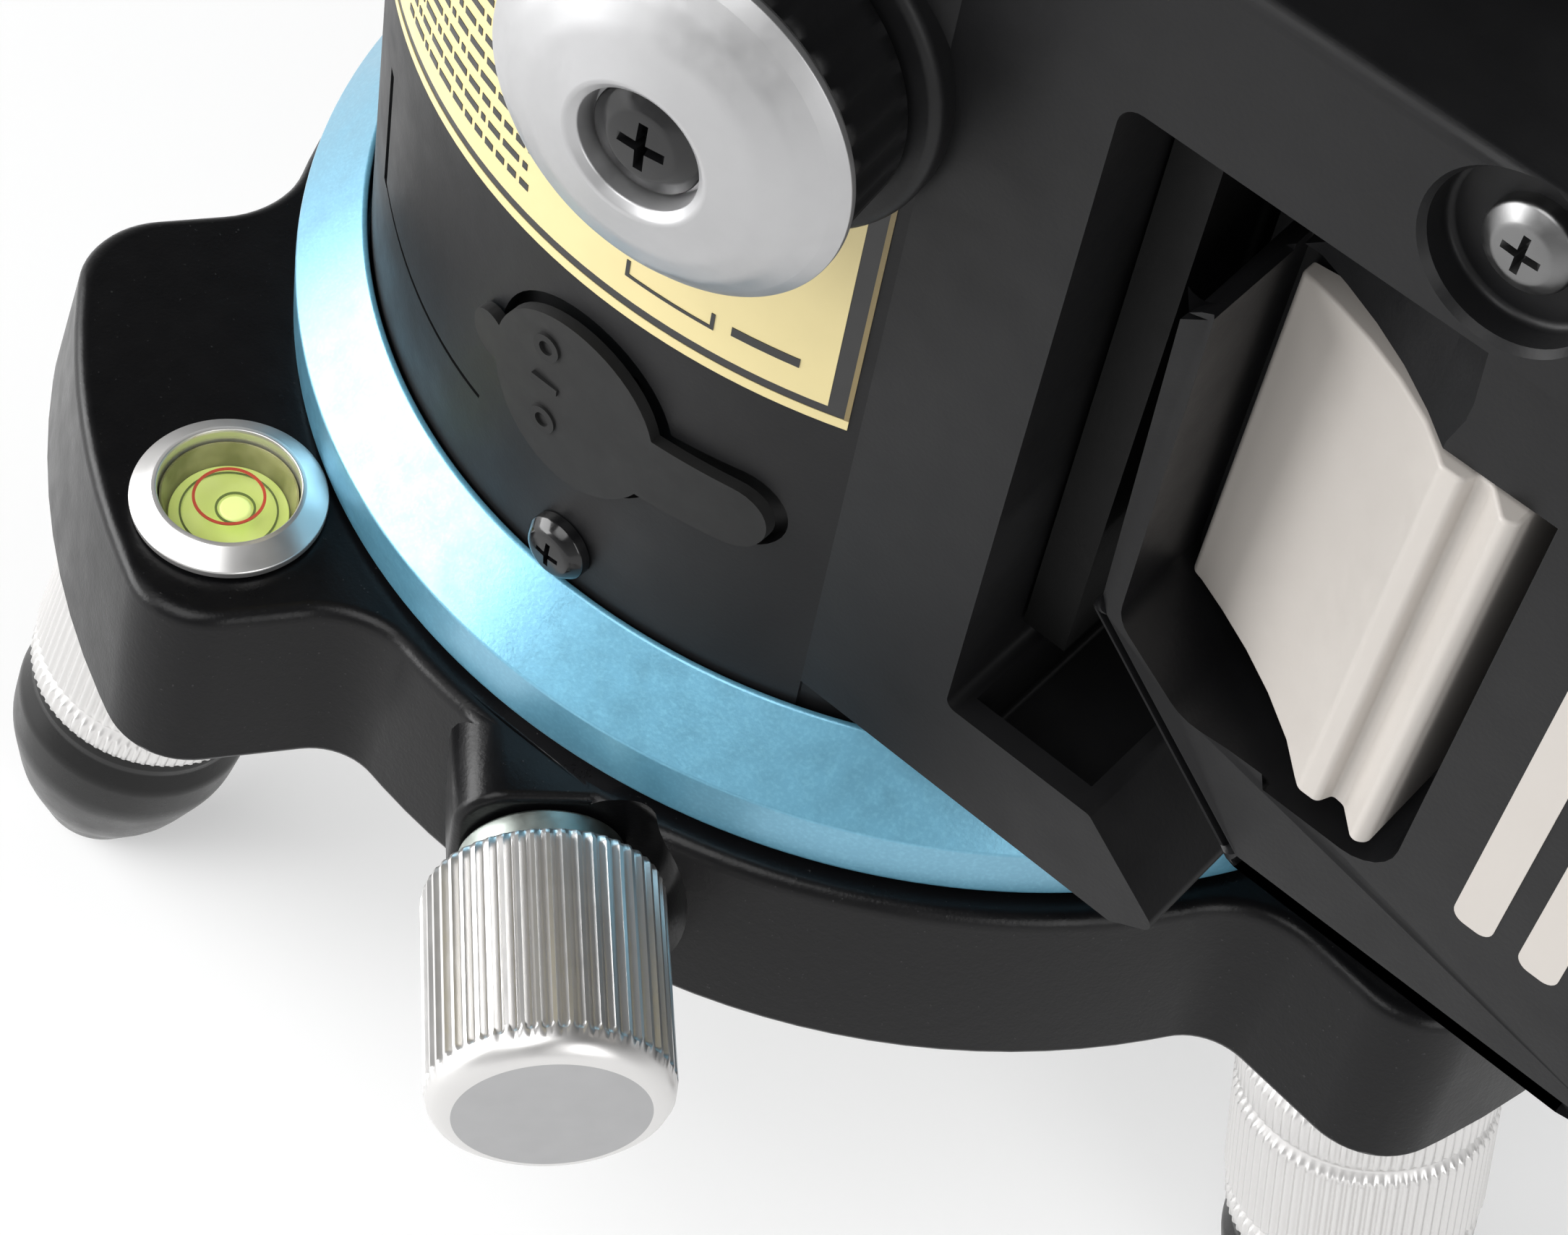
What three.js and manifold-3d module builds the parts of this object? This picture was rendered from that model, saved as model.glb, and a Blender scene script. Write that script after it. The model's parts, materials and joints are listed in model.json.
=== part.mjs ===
// Multi-line laser level on a rotating, three-footed levelling base, with a slide-in battery pack.
// Units are millimetres and +Z is up. The feet stand at FLOOR in the drawing's own heights, and the whole
// level is lifted at the end so that they stand on z = 0.
// The head's own directions are used: the battery bay is on +X, the lock knob and port are on -Y.
import * as THREE from 'three';
import { mergeVertices } from 'three/addons/utils/BufferGeometryUtils.js';
import Module from 'manifold-3d';

const wasm = await Module();
wasm.setup();

// ---------------------------------------------------------------- driving dimensions
const GAP = 0.3; // between neighbouring pieces
const HEAD_AXIS = [-12.3, 1.84]; // where the head turns; puts the middle of the level over the origin
const FLOOR = -7; // height of the surface that the feet stand on, in the drawing's own heights

// base casting
const BASE_BOTTOM = 44;
const BASE_TOP = 59;
const BASE_R = 57; // wall around the turning ring, at the top
const BASE_FLARE = 2.4; // how much wider the wall is at the bottom
const ARM_REACH = 72.4;
const ARM_HALF_WIDTH = 21;
const ARM_CORNER_R = 7;
const ARM_FILLET_R = 8;
const ARM_ANGLES = [-126, -6, 114];
const RECESS_R = 44;
const RECESS_FLOOR = 47;
const BOSS_R = 14.5;
const BOSS_TOP = 53.6;
const BUSH_R = 11;

// turning parts under the head
const SPINDLE_R = 8;
const RING_Z = 60;
const RING_R = 55;
const RING_INNER_R = 44.8;
const RING_SIDE = 5.1;
const RING_TOP = 70.7;
const RING_TOP_R = 49.9;
const RING_SEAT_Z = 66;
const WHEEL_R = 31.2;

// screw feet: each leans outwards under its arm
const FOOT_R = 59.4; // radius where the foot's axis meets the arm's underside
const FOOT_OFFSET = -6.4; // degrees from the arm's middle, because the vial takes the other half of its arm
const FOOT_LEAN = 14;
const FOOT_BOSS = 2.7;
const FOOT_WHEEL = [7.6, 30.2]; // top and bottom of the knurled wheel along the foot's axis
const FOOT_WHEEL_R = 11;
const FOOT_SCREW_R = 3;

// tangent screw (fine turning knob and its worm)
const WORM_START = [6.8, -57.5, 52]; // where its axis leaves the wall
const WORM_ANGLE = -45;
const WORM_CENTRE = -45.5; // distance back along the axis to the worm
const WORM_R = 4.2;
const WORM_BOSS_END = 1; // distances out along the axis
const KNOB_START = 4.4;
const KNOB_END = 23.5;
const KNOB_R = 9.2;

// circular vial
const VIAL_ANGLE = -117.1;
const VIAL_DISTANCE = 62.8;
const VIAL_R = 7.7;
const VIAL_TOP = 2.3; // top of its bezel above the casting

// lower housing: a drum that carries the battery bay
const DRUM_R = 49.2;
const WALL = 2.4;
const SIDE_Y = 45.5; // flat sides of the bay
const BAY_X = 30.3; // bay's back wall
const BAY_FLOOR = 82;
const BAY_ROOF = 140;
const DRUM_FLOOR = 73.2;
const SHOULDER_TOP = 152;
const SHOULDER_X = 62;
const SCREW_RECESS_X = 54.6; // round recess for a screw on the shoulder's front

// battery pack
const PACK_Z = (BAY_FLOOR + BAY_ROOF) / 2;
const PACK_X = [38, 84];
const PACK_HALF_WIDTH = 28.5;
const PACK_Y = [-42, 42];
const NOSE_Y = -32;
const THUMB_HALF_HEIGHT = 16.4;
const THUMB_TRAVEL = 1.5;
const POCKET_X = [38.8, 60.4 + THUMB_TRAVEL + GAP]; // recess around the thumb plate
const POCKET_ROOF_Z = 17; // from the pack's middle up to the recess's upper end
const POCKET_DEPTH_Z = 19.6; // from the pack's middle down to the recess's lower end

// lock knob on the drum
const LOCK_ANGLE = -82;
const LOCK_Z = 129.6;
const LOCK_R = 11.9;
const LOCK_CAP_R = 12.6;
const LOCK_BASE = 50;
const LOCK_CAP = 56.8;

// port and its rubber cover
const PORT_X = -1.6;
const PORT_Z = 89.8;
const COVER_R = 7.6; // round body of the cover
const COVER_LUG = [-8.3, 0]; // centres of its lug and of its pull tab's end, from the port's middle
const COVER_TAB = [13.6, -0.7];
const COVER_FRONT = 1.3; // from the drum's surface

// laser head
const HEAD_X = [-42, 46];
const HEAD_Y = 38;
const HEAD_CHAMFER = 15;
const HEAD_TOP = 226;
const CAP_TOP = 234;
const WINDOW_Z = [166, 214];
const WINDOW_HALF = 13;
const GIMBAL_Z = 205;
const GIMBAL_R = [17, 21];
const GIMBAL_TURN = 45; // the gimbal's axes lie between the laser modules

// ---------------------------------------------------------------- helpers
const rad = THREE.MathUtils.degToRad;

function finish(color, roughness, metalness) {
  return new THREE.MeshStandardMaterial({ color, roughness, metalness });
}

function signedVolume(geometry) {
  const p = geometry.attributes.position;
  const index = geometry.index;
  const [a, b, c] = [new THREE.Vector3(), new THREE.Vector3(), new THREE.Vector3()];
  let volume = 0;
  for (let i = 0; i < index.count; i += 3) {
    a.fromBufferAttribute(p, index.getX(i));
    b.fromBufferAttribute(p, index.getX(i + 1));
    c.fromBufferAttribute(p, index.getX(i + 2));
    volume += a.dot(b.cross(c)) / 6;
  }
  return volume;
}

// One welded body with its faces pointing out and no slivers.
function welded(geometry) {
  geometry.deleteAttribute('normal');
  geometry.deleteAttribute('uv');
  const merged = mergeVertices(geometry, 1e-4);
  const old = merged.index.array;
  const kept = [];
  for (let i = 0; i < old.length; i += 3) {
    const [a, b, c] = [old[i], old[i + 1], old[i + 2]];
    if (a !== b && b !== c && c !== a) kept.push(a, b, c);
  }
  merged.setIndex(kept);
  if (signedVolume(merged) < 0) {
    for (let i = 0; i < kept.length; i += 3) [kept[i], kept[i + 1]] = [kept[i + 1], kept[i]];
    merged.setIndex(kept);
  }
  return merged;
}

function toSolid(geometry) {
  const g = welded(geometry);
  const vertProperties = new Float32Array(g.attributes.position.array);
  const triVerts = new Uint32Array(g.index.array);
  return new wasm.Manifold(new wasm.Mesh({ numProp: 3, vertProperties, triVerts }));
}

function toGeometry(solid) {
  const mesh = solid.getMesh();
  const geometry = new THREE.BufferGeometry();
  geometry.setAttribute('position', new THREE.BufferAttribute(mesh.vertProperties, 3));
  geometry.setIndex(new THREE.BufferAttribute(mesh.triVerts, 1));
  return geometry;
}

// Joins the added geometries and cuts the others away.
function carve(added, cut = []) {
  let solid = toSolid(added[0]);
  for (const g of added.slice(1)) solid = solid.add(toSolid(g));
  for (const g of cut) solid = solid.subtract(toSolid(g));
  return toGeometry(solid);
}

function polar(r, degrees, z = 0) {
  return new THREE.Vector3(r * Math.cos(rad(degrees)), r * Math.sin(rad(degrees)), z);
}

// Points [r, z] turned about Z. The profile ends on the axis or closes on itself.
function lathe(profile, segments = 32) {
  const points = profile.map(([r, z]) => new THREE.Vector2(r, z));
  if (profile[0][0] > 0) points.push(points[0].clone());
  return new THREE.LatheGeometry(points, segments).rotateX(Math.PI / 2);
}

function ringProfile(rIn, rOut, z0, z1) {
  return [[rIn, z0], [rOut, z0], [rOut, z1], [rIn, z1]];
}

function tube(rIn, rOut, z0, z1, segments = 32) {
  return lathe(ringProfile(rIn, rOut, z0, z1), segments);
}

function disc(r, z0, z1, segments = 32) {
  return new THREE.CylinderGeometry(r, r, z1 - z0, segments).rotateX(Math.PI / 2)
    .translate(0, 0, (z0 + z1) / 2);
}

function block(x, y, z) {
  return new THREE.BoxGeometry(x[1] - x[0], y[1] - y[0], z[1] - z[0])
    .translate((x[0] + x[1]) / 2, (y[0] + y[1]) / 2, (z[0] + z[1]) / 2);
}

// Turns a piece made along +Z so that it lies along +X.
function alongX(geometry) {
  return geometry.rotateY(Math.PI / 2);
}

function prism(points, z0, z1, holes = []) {
  const shape = new THREE.Shape(points);
  for (const hole of holes) shape.holes.push(new THREE.Path(hole));
  return new THREE.ExtrudeGeometry(shape, { depth: z1 - z0, bevelEnabled: false, curveSegments: 6 })
    .translate(0, 0, z0);
}

// An outline of [x, z] points carried along Y.
function prismY(outline, y0, y1) {
  return prism(outline.map(([x, z]) => new THREE.Vector2(x, z)), -y1, -y0).rotateX(Math.PI / 2);
}

function arc(cx, cy, r, from, to, steps) {
  return Array.from({ length: steps + 1 }, (_, i) => {
    const a = rad(from + ((to - from) * i) / steps);
    return new THREE.Vector2(cx + r * Math.cos(a), cy + r * Math.sin(a));
  });
}

// A solid with the same number of outline points at each height.
function loft(layers) {
  const n = layers[0].points.length;
  const position = layers.flatMap(({ z, points }) => points.flatMap((p) => [p.x, p.y, z]));
  const index = [];
  for (let k = 0; k + 1 < layers.length; k++) {
    for (let i = 0; i < n; i++) {
      const [a, b] = [k * n + i, k * n + ((i + 1) % n)];
      index.push(a, b, b + n, a, b + n, a + n);
    }
  }
  const top = (layers.length - 1) * n;
  for (const [a, b, c] of THREE.ShapeUtils.triangulateShape(layers[0].points, [])) {
    index.push(c, b, a);
  }
  for (const [a, b, c] of THREE.ShapeUtils.triangulateShape(layers.at(-1).points, [])) {
    index.push(top + a, top + b, top + c);
  }
  const geometry = new THREE.BufferGeometry();
  geometry.setAttribute('position', new THREE.Float32BufferAttribute(position, 3));
  geometry.setIndex(index);
  return geometry;
}

function add(parent, name, geometry, material) {
  const mesh = new THREE.Mesh(welded(geometry), material);
  mesh.name = name;
  parent.add(mesh);
  return mesh;
}

// ---------------------------------------------------------------- base
// A round wall with three blunt arms. grow widens it all round.
function baseOutline(grow) {
  const wall = BASE_R + grow;
  const side = ARM_HALF_WIDTH + grow;
  const tip = ARM_REACH + grow;
  const fillet = ARM_FILLET_R - grow;
  const corner = ARM_CORNER_R;
  const filletX = Math.sqrt((wall + fillet) ** 2 - (side + fillet) ** 2);
  const filletTurn = THREE.MathUtils.radToDeg(Math.atan2(side + fillet, filletX));
  const cornerX = Math.sqrt((tip - corner) ** 2 - (side - corner) ** 2);
  const cornerTurn = THREE.MathUtils.radToDeg(Math.atan2(side - corner, cornerX));
  const arm = [
    ...arc(filletX, -side - fillet, fillet, 180 - filletTurn, 90, 3),
    ...arc(cornerX, -side + corner, corner, -90, -cornerTurn, 3),
    ...arc(0, 0, tip, -cornerTurn * 0.5, cornerTurn * 0.5, 1),
    ...arc(cornerX, side - corner, corner, cornerTurn, 90, 3),
    ...arc(filletX, side + fillet, fillet, -90, filletTurn - 180, 3),
    ...arc(0, 0, wall, filletTurn + 6, 120 - filletTurn - 6, 5),
  ];
  const centre = new THREE.Vector2();
  return ARM_ANGLES.flatMap((angle) => arm.map((p) => p.clone().rotateAround(centre, rad(angle))));
}

// Moves a piece made along a foot's axis (down is -Z, starting at the arm's underside) to one arm.
function toArm(geometry, angle) {
  return geometry.rotateY(-rad(FOOT_LEAN)).translate(FOOT_R, 0, BASE_BOTTOM)
    .rotateZ(rad(angle + FOOT_OFFSET));
}

// Moves a piece made along +X to the tangent screw's axis.
function toTangent(geometry) {
  return geometry.rotateZ(rad(WORM_ANGLE)).translate(...WORM_START);
}

function baseCasting() {
  const body = loft([
    { z: BASE_BOTTOM, points: baseOutline(BASE_FLARE) },
    { z: BASE_TOP - 1.2, points: baseOutline(0) },
    { z: BASE_TOP, points: baseOutline(-1.2) },
  ]);
  const hub = disc(BOSS_R, RECESS_FLOOR - 1, BOSS_TOP, 24);
  const footBosses = ARM_ANGLES.map((a) => toArm(disc(8.2, -FOOT_BOSS, 6, 18), a));
  const footBores = ARM_ANGLES.map((a) => toArm(disc(FOOT_SCREW_R + 0.5, -FOOT_BOSS - 1, 9.8, 14), a));
  const wormBoss = toTangent(alongX(prism([
    ...arc(3, -3.2, 4, -90, 0, 3), ...arc(3, 3.2, 4, 0, 90, 3),
    ...arc(-3.2, 3.2, 4, 90, 180, 3), ...arc(-3.2, -3.2, 4, 180, 270, 3),
  ], -13, WORM_BOSS_END)));
  const wormBore = toTangent(alongX(disc(3, -30, 5, 14)));
  const knobScoop = toTangent(alongX(disc(KNOB_R + 1.3, WORM_BOSS_END, 16, 32)));
  const vial = polar(VIAL_DISTANCE, VIAL_ANGLE);
  const vialPocket = disc(5.9, BASE_TOP - 7, BASE_TOP + 1, 20).translate(vial.x, vial.y, 0);
  const pot = carve([body], [disc(RECESS_R, RECESS_FLOOR, BASE_TOP + 1, 48), knobScoop]);
  return carve(
    [pot, hub, ...footBosses, wormBoss],
    [disc(BUSH_R + GAP, BASE_BOTTOM - 1, BOSS_TOP + 1, 24), ...footBores, wormBore, vialPocket],
  );
}

function tripodPlate() {
  const [bottom, top] = [32, BASE_BOTTOM - GAP];
  return lathe([
    [7.94, bottom], [20.5, bottom], [22, bottom + 1.5], [22, top], [13, top], [13, 38], [7.94, 38],
  ], 28);
}

// ---------------------------------------------------------------- feet
function footWheel() {
  const [top, bottom] = FOOT_WHEEL;
  const r = FOOT_WHEEL_R;
  const bore = FOOT_SCREW_R + 0.4;
  return lathe([
    [bore, -bottom], [r - 0.9, -bottom], [r - 0.4, -bottom + 0.5], [r - 0.4, -bottom + 2],
    [r - 0.9, -bottom + 3], [r, -bottom + 4], [r, -top - 2.6], [r - 1.6, -top], [bore, -top],
  ], 28);
}

function footPad() {
  const top = FOOT_WHEEL[1] + GAP;
  const length = (BASE_BOTTOM - FLOOR) / Math.cos(rad(FOOT_LEAN));
  return lathe([
    [0, -top - 7.3], [FOOT_SCREW_R + GAP, -top - 7.3], [FOOT_SCREW_R + GAP, -top], [10, -top],
    [10.8, -top - 4], [10.5, -top - 7.5], [9.6, -top - 11], [8.2, -top - 14.5], [6.4, -top - 18.5],
    [4.2, -length], [3, -length - 3], [0, -length - 3],
  ], 22);
}

function addFoot(base, angle, number, material) {
  const floor = block([-200, 200], [-200, 200], [FLOOR - 40, FLOOR]);
  add(base, `foot_wheel_${number}`, toArm(footWheel(), angle), material.aluminium());
  const screw = disc(FOOT_SCREW_R, -FOOT_WHEEL[1] - 7.2, 9, 14);
  add(base, `foot_screw_${number}`, toArm(screw, angle), material.steel());
  add(base, `foot_pad_${number}`, carve([toArm(footPad(), angle)], [floor]), material.rubber());
}

// ---------------------------------------------------------------- tangent screw
function wormShaft() {
  const [from, to] = [WORM_CENTRE - 10, 13];
  return lathe([
    [0, from], [2.5, from], [2.5, WORM_CENTRE - 6.5], [WORM_R, WORM_CENTRE - 5.5],
    [WORM_R, WORM_CENTRE + 5.5], [2.5, WORM_CENTRE + 6.5], [2.5, to], [0, to],
  ], 16);
}

function wormKnob() {
  return lathe([
    [0, 13.4], [2.8, 13.4], [2.8, KNOB_START], [KNOB_R - 0.6, KNOB_START], [KNOB_R, KNOB_START + 0.6],
    [KNOB_R, KNOB_END - 2.4], [KNOB_R - 2, KNOB_END], [0, KNOB_END],
  ], 32);
}

function wormBearing() {
  const at = WORM_CENTRE - 8.6;
  const post = block([at - 1.4, at + 1.4], [-5, 5], [RECESS_FLOOR + GAP - WORM_START[2], 4.4]);
  return toTangent(carve([post], [alongX(disc(2.8, at - 3, at + 3, 16))]));
}

// ---------------------------------------------------------------- turning parts
function turntable() {
  return lathe([
    [0, 40], [6, 40], [6, 44.6], [SPINDLE_R, 44.6], [SPINDLE_R, 57], [RECESS_R - 0.6, 57],
    [RECESS_R - 0.6, 62], [14, 62], [14, 65.6], [0, 65.6],
  ], 32);
}

function turnRing() {
  return lathe([
    [RING_INNER_R, RING_Z], [RING_R, RING_Z], [RING_R, RING_Z + RING_SIDE], [RING_TOP_R, RING_TOP],
    [DRUM_R + GAP, RING_TOP], [DRUM_R + GAP, RING_SEAT_Z], [RING_INNER_R, RING_SEAT_Z],
  ], 64);
}

// ---------------------------------------------------------------- lower housing
// The drum in plan, with flat sides running to the bay's back wall at x = reach.
function drumOutline(r, sideY, reach) {
  const turn = THREE.MathUtils.radToDeg(Math.asin(sideY / r));
  const corners = [new THREE.Vector2(reach, sideY), new THREE.Vector2(reach, -sideY)];
  return [corners[0], ...arc(0, 0, r, turn, 360 - turn, 32), corners[1]];
}

function lowerHousing() {
  const skirt = disc(DRUM_R, RING_SEAT_Z + GAP, DRUM_FLOOR + 0.6, 56);
  const tower = prism(drumOutline(DRUM_R, SIDE_Y, BAY_X), DRUM_FLOOR, SHOULDER_TOP);
  const shelf = prismY([
    [BAY_X - 1, DRUM_FLOOR], [47, DRUM_FLOOR], [50.5, DRUM_FLOOR + 2.4], [43, BAY_FLOOR],
    [BAY_X - 1, BAY_FLOOR],
  ], -SIDE_Y, SIDE_Y);
  const shoulder = block([BAY_X - 1, SHOULDER_X], [-SIDE_Y, SIDE_Y], [BAY_ROOF, SHOULDER_TOP]);
  const atLock = (g) => alongX(g).rotateZ(rad(LOCK_ANGLE)).translate(0, 0, LOCK_Z);
  const lockBoss = atLock(disc(13.6, 40, LOCK_BASE - GAP, 28));
  const inner = drumOutline(DRUM_R - WALL, SIDE_Y - WALL, BAY_X - WALL);
  const inside = prism(inner, DRUM_FLOOR + 1.4, SHOULDER_TOP - WALL);
  const underside = disc(DRUM_R - WALL, RING_SEAT_Z - 1, DRUM_FLOOR - 1, 40);
  const wiring = disc(12, DRUM_FLOOR - 3, SHOULDER_TOP + 1, 20);
  const lockBore = atLock(disc(3.5, 30, 60, 16));
  const port = block([PORT_X - 4.4, PORT_X + 4.4], [-55, -40], [PORT_Z - 4, PORT_Z + 4]);
  const tray = prismY([
    [BAY_X + 1, DRUM_FLOOR + 2], [46.4, DRUM_FLOOR + 2], [41, BAY_FLOOR + 1],
    [BAY_X + 1, BAY_FLOOR + 1],
  ], -SIDE_Y + 2.2, SIDE_Y - 2.2);
  const screwRecess = disc(5.5, SIDE_Y - 2.6, SIDE_Y + 4.5, 20).rotateX(Math.PI / 2)
    .translate(SCREW_RECESS_X, 0, SHOULDER_TOP - 5.6);
  return carve(
    [skirt, tower, shelf, shoulder, lockBoss],
    [inside, underside, wiring, lockBore, port, tray, screwRecess],
  );
}

function batteryDock() {
  const plate = block([BAY_X + GAP, 34.2], [-38, 43.4], [PACK_Z - 26, PACK_Z + 26]);
  const rail = (side) => prismY([
    [34, PACK_Z + side * 20.6], [37.6, PACK_Z + side * 20.6], [37.6, PACK_Z + side * 24],
    [34, PACK_Z + side * 24],
  ], -30, 40);
  return carve([plate, rail(1), rail(-1)]);
}

function contactBlock() {
  const body = block([34.5, 37.6], [36, 43], [PACK_Z - 17, PACK_Z + 17]);
  const blade = (z) => block([35.6, 36.6], [27.5, 37], [PACK_Z + z - 2.5, PACK_Z + z + 2.5]);
  const blades = [-11, 0, 11].map(blade);
  return carve([body, ...blades]);
}

function portSocket() {
  const body = block([PORT_X - 4.1, PORT_X + 4.1], [-46.2, -37], [PORT_Z - 3.7, PORT_Z + 3.7]);
  const jack = disc(3.2, 39, 50, 20).rotateX(Math.PI / 2).translate(PORT_X, 0, PORT_Z);
  return carve([body], [jack]);
}

// A pan-head screw along +X, standing on the drum.
function panScrew(angle, z) {
  const at = DRUM_R + GAP;
  return alongX(lathe([[0, at], [2.7, at], [2.7, at + 0.7], [2, at + 1.5], [0, at + 1.8]], 14))
    .rotateZ(rad(angle)).translate(0, 0, z);
}

// The rubber cover follows the drum: a round body, a pull tab on its right and a hinge lug on its left.
function portFlap() {
  const shell = tube(DRUM_R + GAP, DRUM_R + COVER_FRONT, PORT_Z - 12, PORT_Z + 12, 120);
  const body = prism([...arc(0, 0, COVER_R, 20, 328, 14), ...arc(...COVER_TAB, 2.9, -90, 90, 5)], 40, 60);
  const lug = prism(arc(...COVER_LUG, 1.9, 0, 324, 9), 40, 60);
  const outline = carve([body, lug]).rotateX(Math.PI / 2).translate(PORT_X, 0, PORT_Z);
  return toGeometry(toSolid(shell).intersect(toSolid(outline)));
}

// ---------------------------------------------------------------- lock
function lockKnob() {
  const [base, top] = [LOCK_BASE, LOCK_CAP - GAP];
  return lathe([
    [3.3, base], [LOCK_R, base], [LOCK_R, top], [3.3, top],
  ], 28);
}

function lockCap() {
  const z = LOCK_CAP;
  return lathe([
    [3.3, z], [LOCK_CAP_R - 0.9, z], [LOCK_CAP_R, z + 0.9], [10.8, z + 2.6], [8.2, z + 3.9], [5, z + 4.7],
    [4.2, z + 4.4], [4.2, z + 2.4], [3.3, z + 2.4],
  ], 32);
}

function lockScrew() {
  const z = LOCK_CAP + 2.7;
  const head = lathe([[0, z], [3.8, z], [3.8, z + 0.5], [2.4, z + 1.1], [0, z + 1.3]], 20);
  const [long, narrow, deep] = [[-2.2, 2.2], [-0.5, 0.5], [z + 0.4, z + 3]];
  return carve([head], [block(long, narrow, deep), block(narrow, long, deep)]);
}

// Rod with an eccentric at its inner end that lifts the pendulum stop.
function lockShaft() {
  const rod = disc(3, 14, LOCK_CAP + 2.4, 16);
  const eccentric = disc(5, 8, 14.5, 20).translate(2, 0, 0);
  return carve([rod, eccentric]);
}

// ---------------------------------------------------------------- laser head
function headOutline(inset) {
  const [x0, x1] = [HEAD_X[0] + inset, HEAD_X[1] - inset];
  const y = HEAD_Y - inset;
  const c = HEAD_CHAMFER - inset * 0.6;
  return [
    [x1, -y + c], [x1, y - c], [x1 - c, y], [x0 + c, y], [x0, y - c], [x0, -y + c], [x0 + c, -y],
    [x1 - c, -y],
  ].map(([px, py]) => new THREE.Vector2(px, py));
}

function headShell() {
  const shell = prism(headOutline(0), SHOULDER_TOP + GAP, HEAD_TOP, [headOutline(3)]);
  const [z0, z1] = [WINDOW_Z[0] - GAP, WINDOW_Z[1] + GAP];
  const w = WINDOW_HALF + GAP;
  return carve([shell], [block([-60, 60], [-w, w], [z0, z1]), block([-w, w], [-60, 60], [z0, z1])]);
}

function windowPane(angle, distance) {
  return block([distance - 2.2, distance - 0.5], [-WINDOW_HALF, WINDOW_HALF], WINDOW_Z).rotateZ(rad(angle));
}

// Rubber bumper over one chamfered corner.
function bumper(signX, signY) {
  const x = signX > 0 ? HEAD_X[1] : -HEAD_X[0];
  const c = HEAD_CHAMFER;
  const g = 0.4;
  const points = [
    [x + g, HEAD_Y - c - 4], [x + 3.4, HEAD_Y - c - 2], [x + 3.4, HEAD_Y - c + 2], [x - c + 2, HEAD_Y + 3.4],
    [x - c - 2, HEAD_Y + 3.4], [x - c - 4, HEAD_Y + g], [x - c + 0.3, HEAD_Y + g], [x + g, HEAD_Y - c + 0.3],
  ].map(([px, py]) => new THREE.Vector2(signX * px, signY * py));
  if (signX * signY < 0) points.reverse();
  return prism(points, SHOULDER_TOP + 1, HEAD_TOP + 3);
}

const KEY_PLACES = [[24, -11], [24, 11]];

function topCap() {
  const plate = loft([
    { z: HEAD_TOP + GAP, points: headOutline(0) },
    { z: CAP_TOP - 3, points: headOutline(0) },
    { z: CAP_TOP, points: headOutline(4) },
  ]);
  const keyHoles = KEY_PLACES.map(([x, y]) => disc(6.3, HEAD_TOP - 1, CAP_TOP + 1, 20).translate(x, y, 0));
  const zenithHole = disc(7.3, HEAD_TOP - 1, CAP_TOP + 1, 24);
  return carve([plate], [...keyHoles, zenithHole]);
}

function key(x, y) {
  return lathe([
    [0, HEAD_TOP + 2], [5.9, HEAD_TOP + 2], [5.9, CAP_TOP + 0.4], [5.1, CAP_TOP + 1.2], [0, CAP_TOP + 1.4],
  ], 20).translate(x, y, 0);
}

// ---------------------------------------------------------------- pendulum and its carrier
function chassis() {
  const plate = disc(34, SHOULDER_TOP + 0.4, SHOULDER_TOP + 3.4, 28);
  const opening = disc(16, SHOULDER_TOP - 1, SHOULDER_TOP + 5, 24);
  const height = [SHOULDER_TOP + 1, GIMBAL_Z + 6];
  const post = (a) => block([25, 29], [-6, 6], height).rotateZ(rad(a + GIMBAL_TURN));
  const posts = [0, 180].map(post);
  const bore = alongX(disc(1.6, -40, 40, 12)).rotateZ(rad(GIMBAL_TURN)).translate(0, 0, GIMBAL_Z);
  return carve([plate, ...posts], [opening, bore]);
}

function gimbalRing() {
  const body = tube(...GIMBAL_R, GIMBAL_Z - 3.5, GIMBAL_Z + 3.5, 24);
  const pins = [alongX(disc(1.2, 18.5, 28, 12)), alongX(disc(1.2, -28, -18.5, 12))]
    .map((g) => g.rotateZ(rad(GIMBAL_TURN)).translate(0, 0, GIMBAL_Z));
  const bore = alongX(disc(1.6, -30, 30, 12)).rotateZ(rad(GIMBAL_TURN + 90)).translate(0, 0, GIMBAL_Z);
  return carve([body, ...pins], [bore]);
}

function pendulumFrame() {
  const column = block([-8.5, 8.5], [-8.5, 8.5], [162, GIMBAL_Z + 7]);
  const pins = alongX(disc(1.2, -20, 20, 12)).rotateZ(rad(GIMBAL_TURN + 90)).translate(0, 0, GIMBAL_Z);
  return carve([column, pins], [disc(6, 150, 180, 16)]);
}

function laserModule(angle, z) {
  return alongX(lathe([[0, 8.8], [5.2, 8.8], [5.2, 24], [3.2, 24.8], [3.2, 29], [0, 29]], 16))
    .rotateZ(rad(angle)).translate(0, 0, z);
}

// ---------------------------------------------------------------- battery pack
function packOutline(x0, cutX, cutZ, rounding) {
  const w = PACK_HALF_WIDTH;
  const x1 = PACK_X[1];
  return [
    [x0, -cutZ], [cutX, -w], [x1 - rounding, -w], [x1, -w + rounding], [x1, w - rounding], [x1 - rounding, w],
    [cutX, w], [x0, cutZ],
  ].map(([x, z]) => [x, z + PACK_Z]);
}

// Front of the thumb plate from its ridge to its deep edge. The case carries the same hollow on above it.
const THUMB_HOLLOW = [[55, PACK_Y[0] - 0.4], [48, PACK_Y[0] + 4.2], [40.4, PACK_Y[0] + 7.2]];

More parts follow.
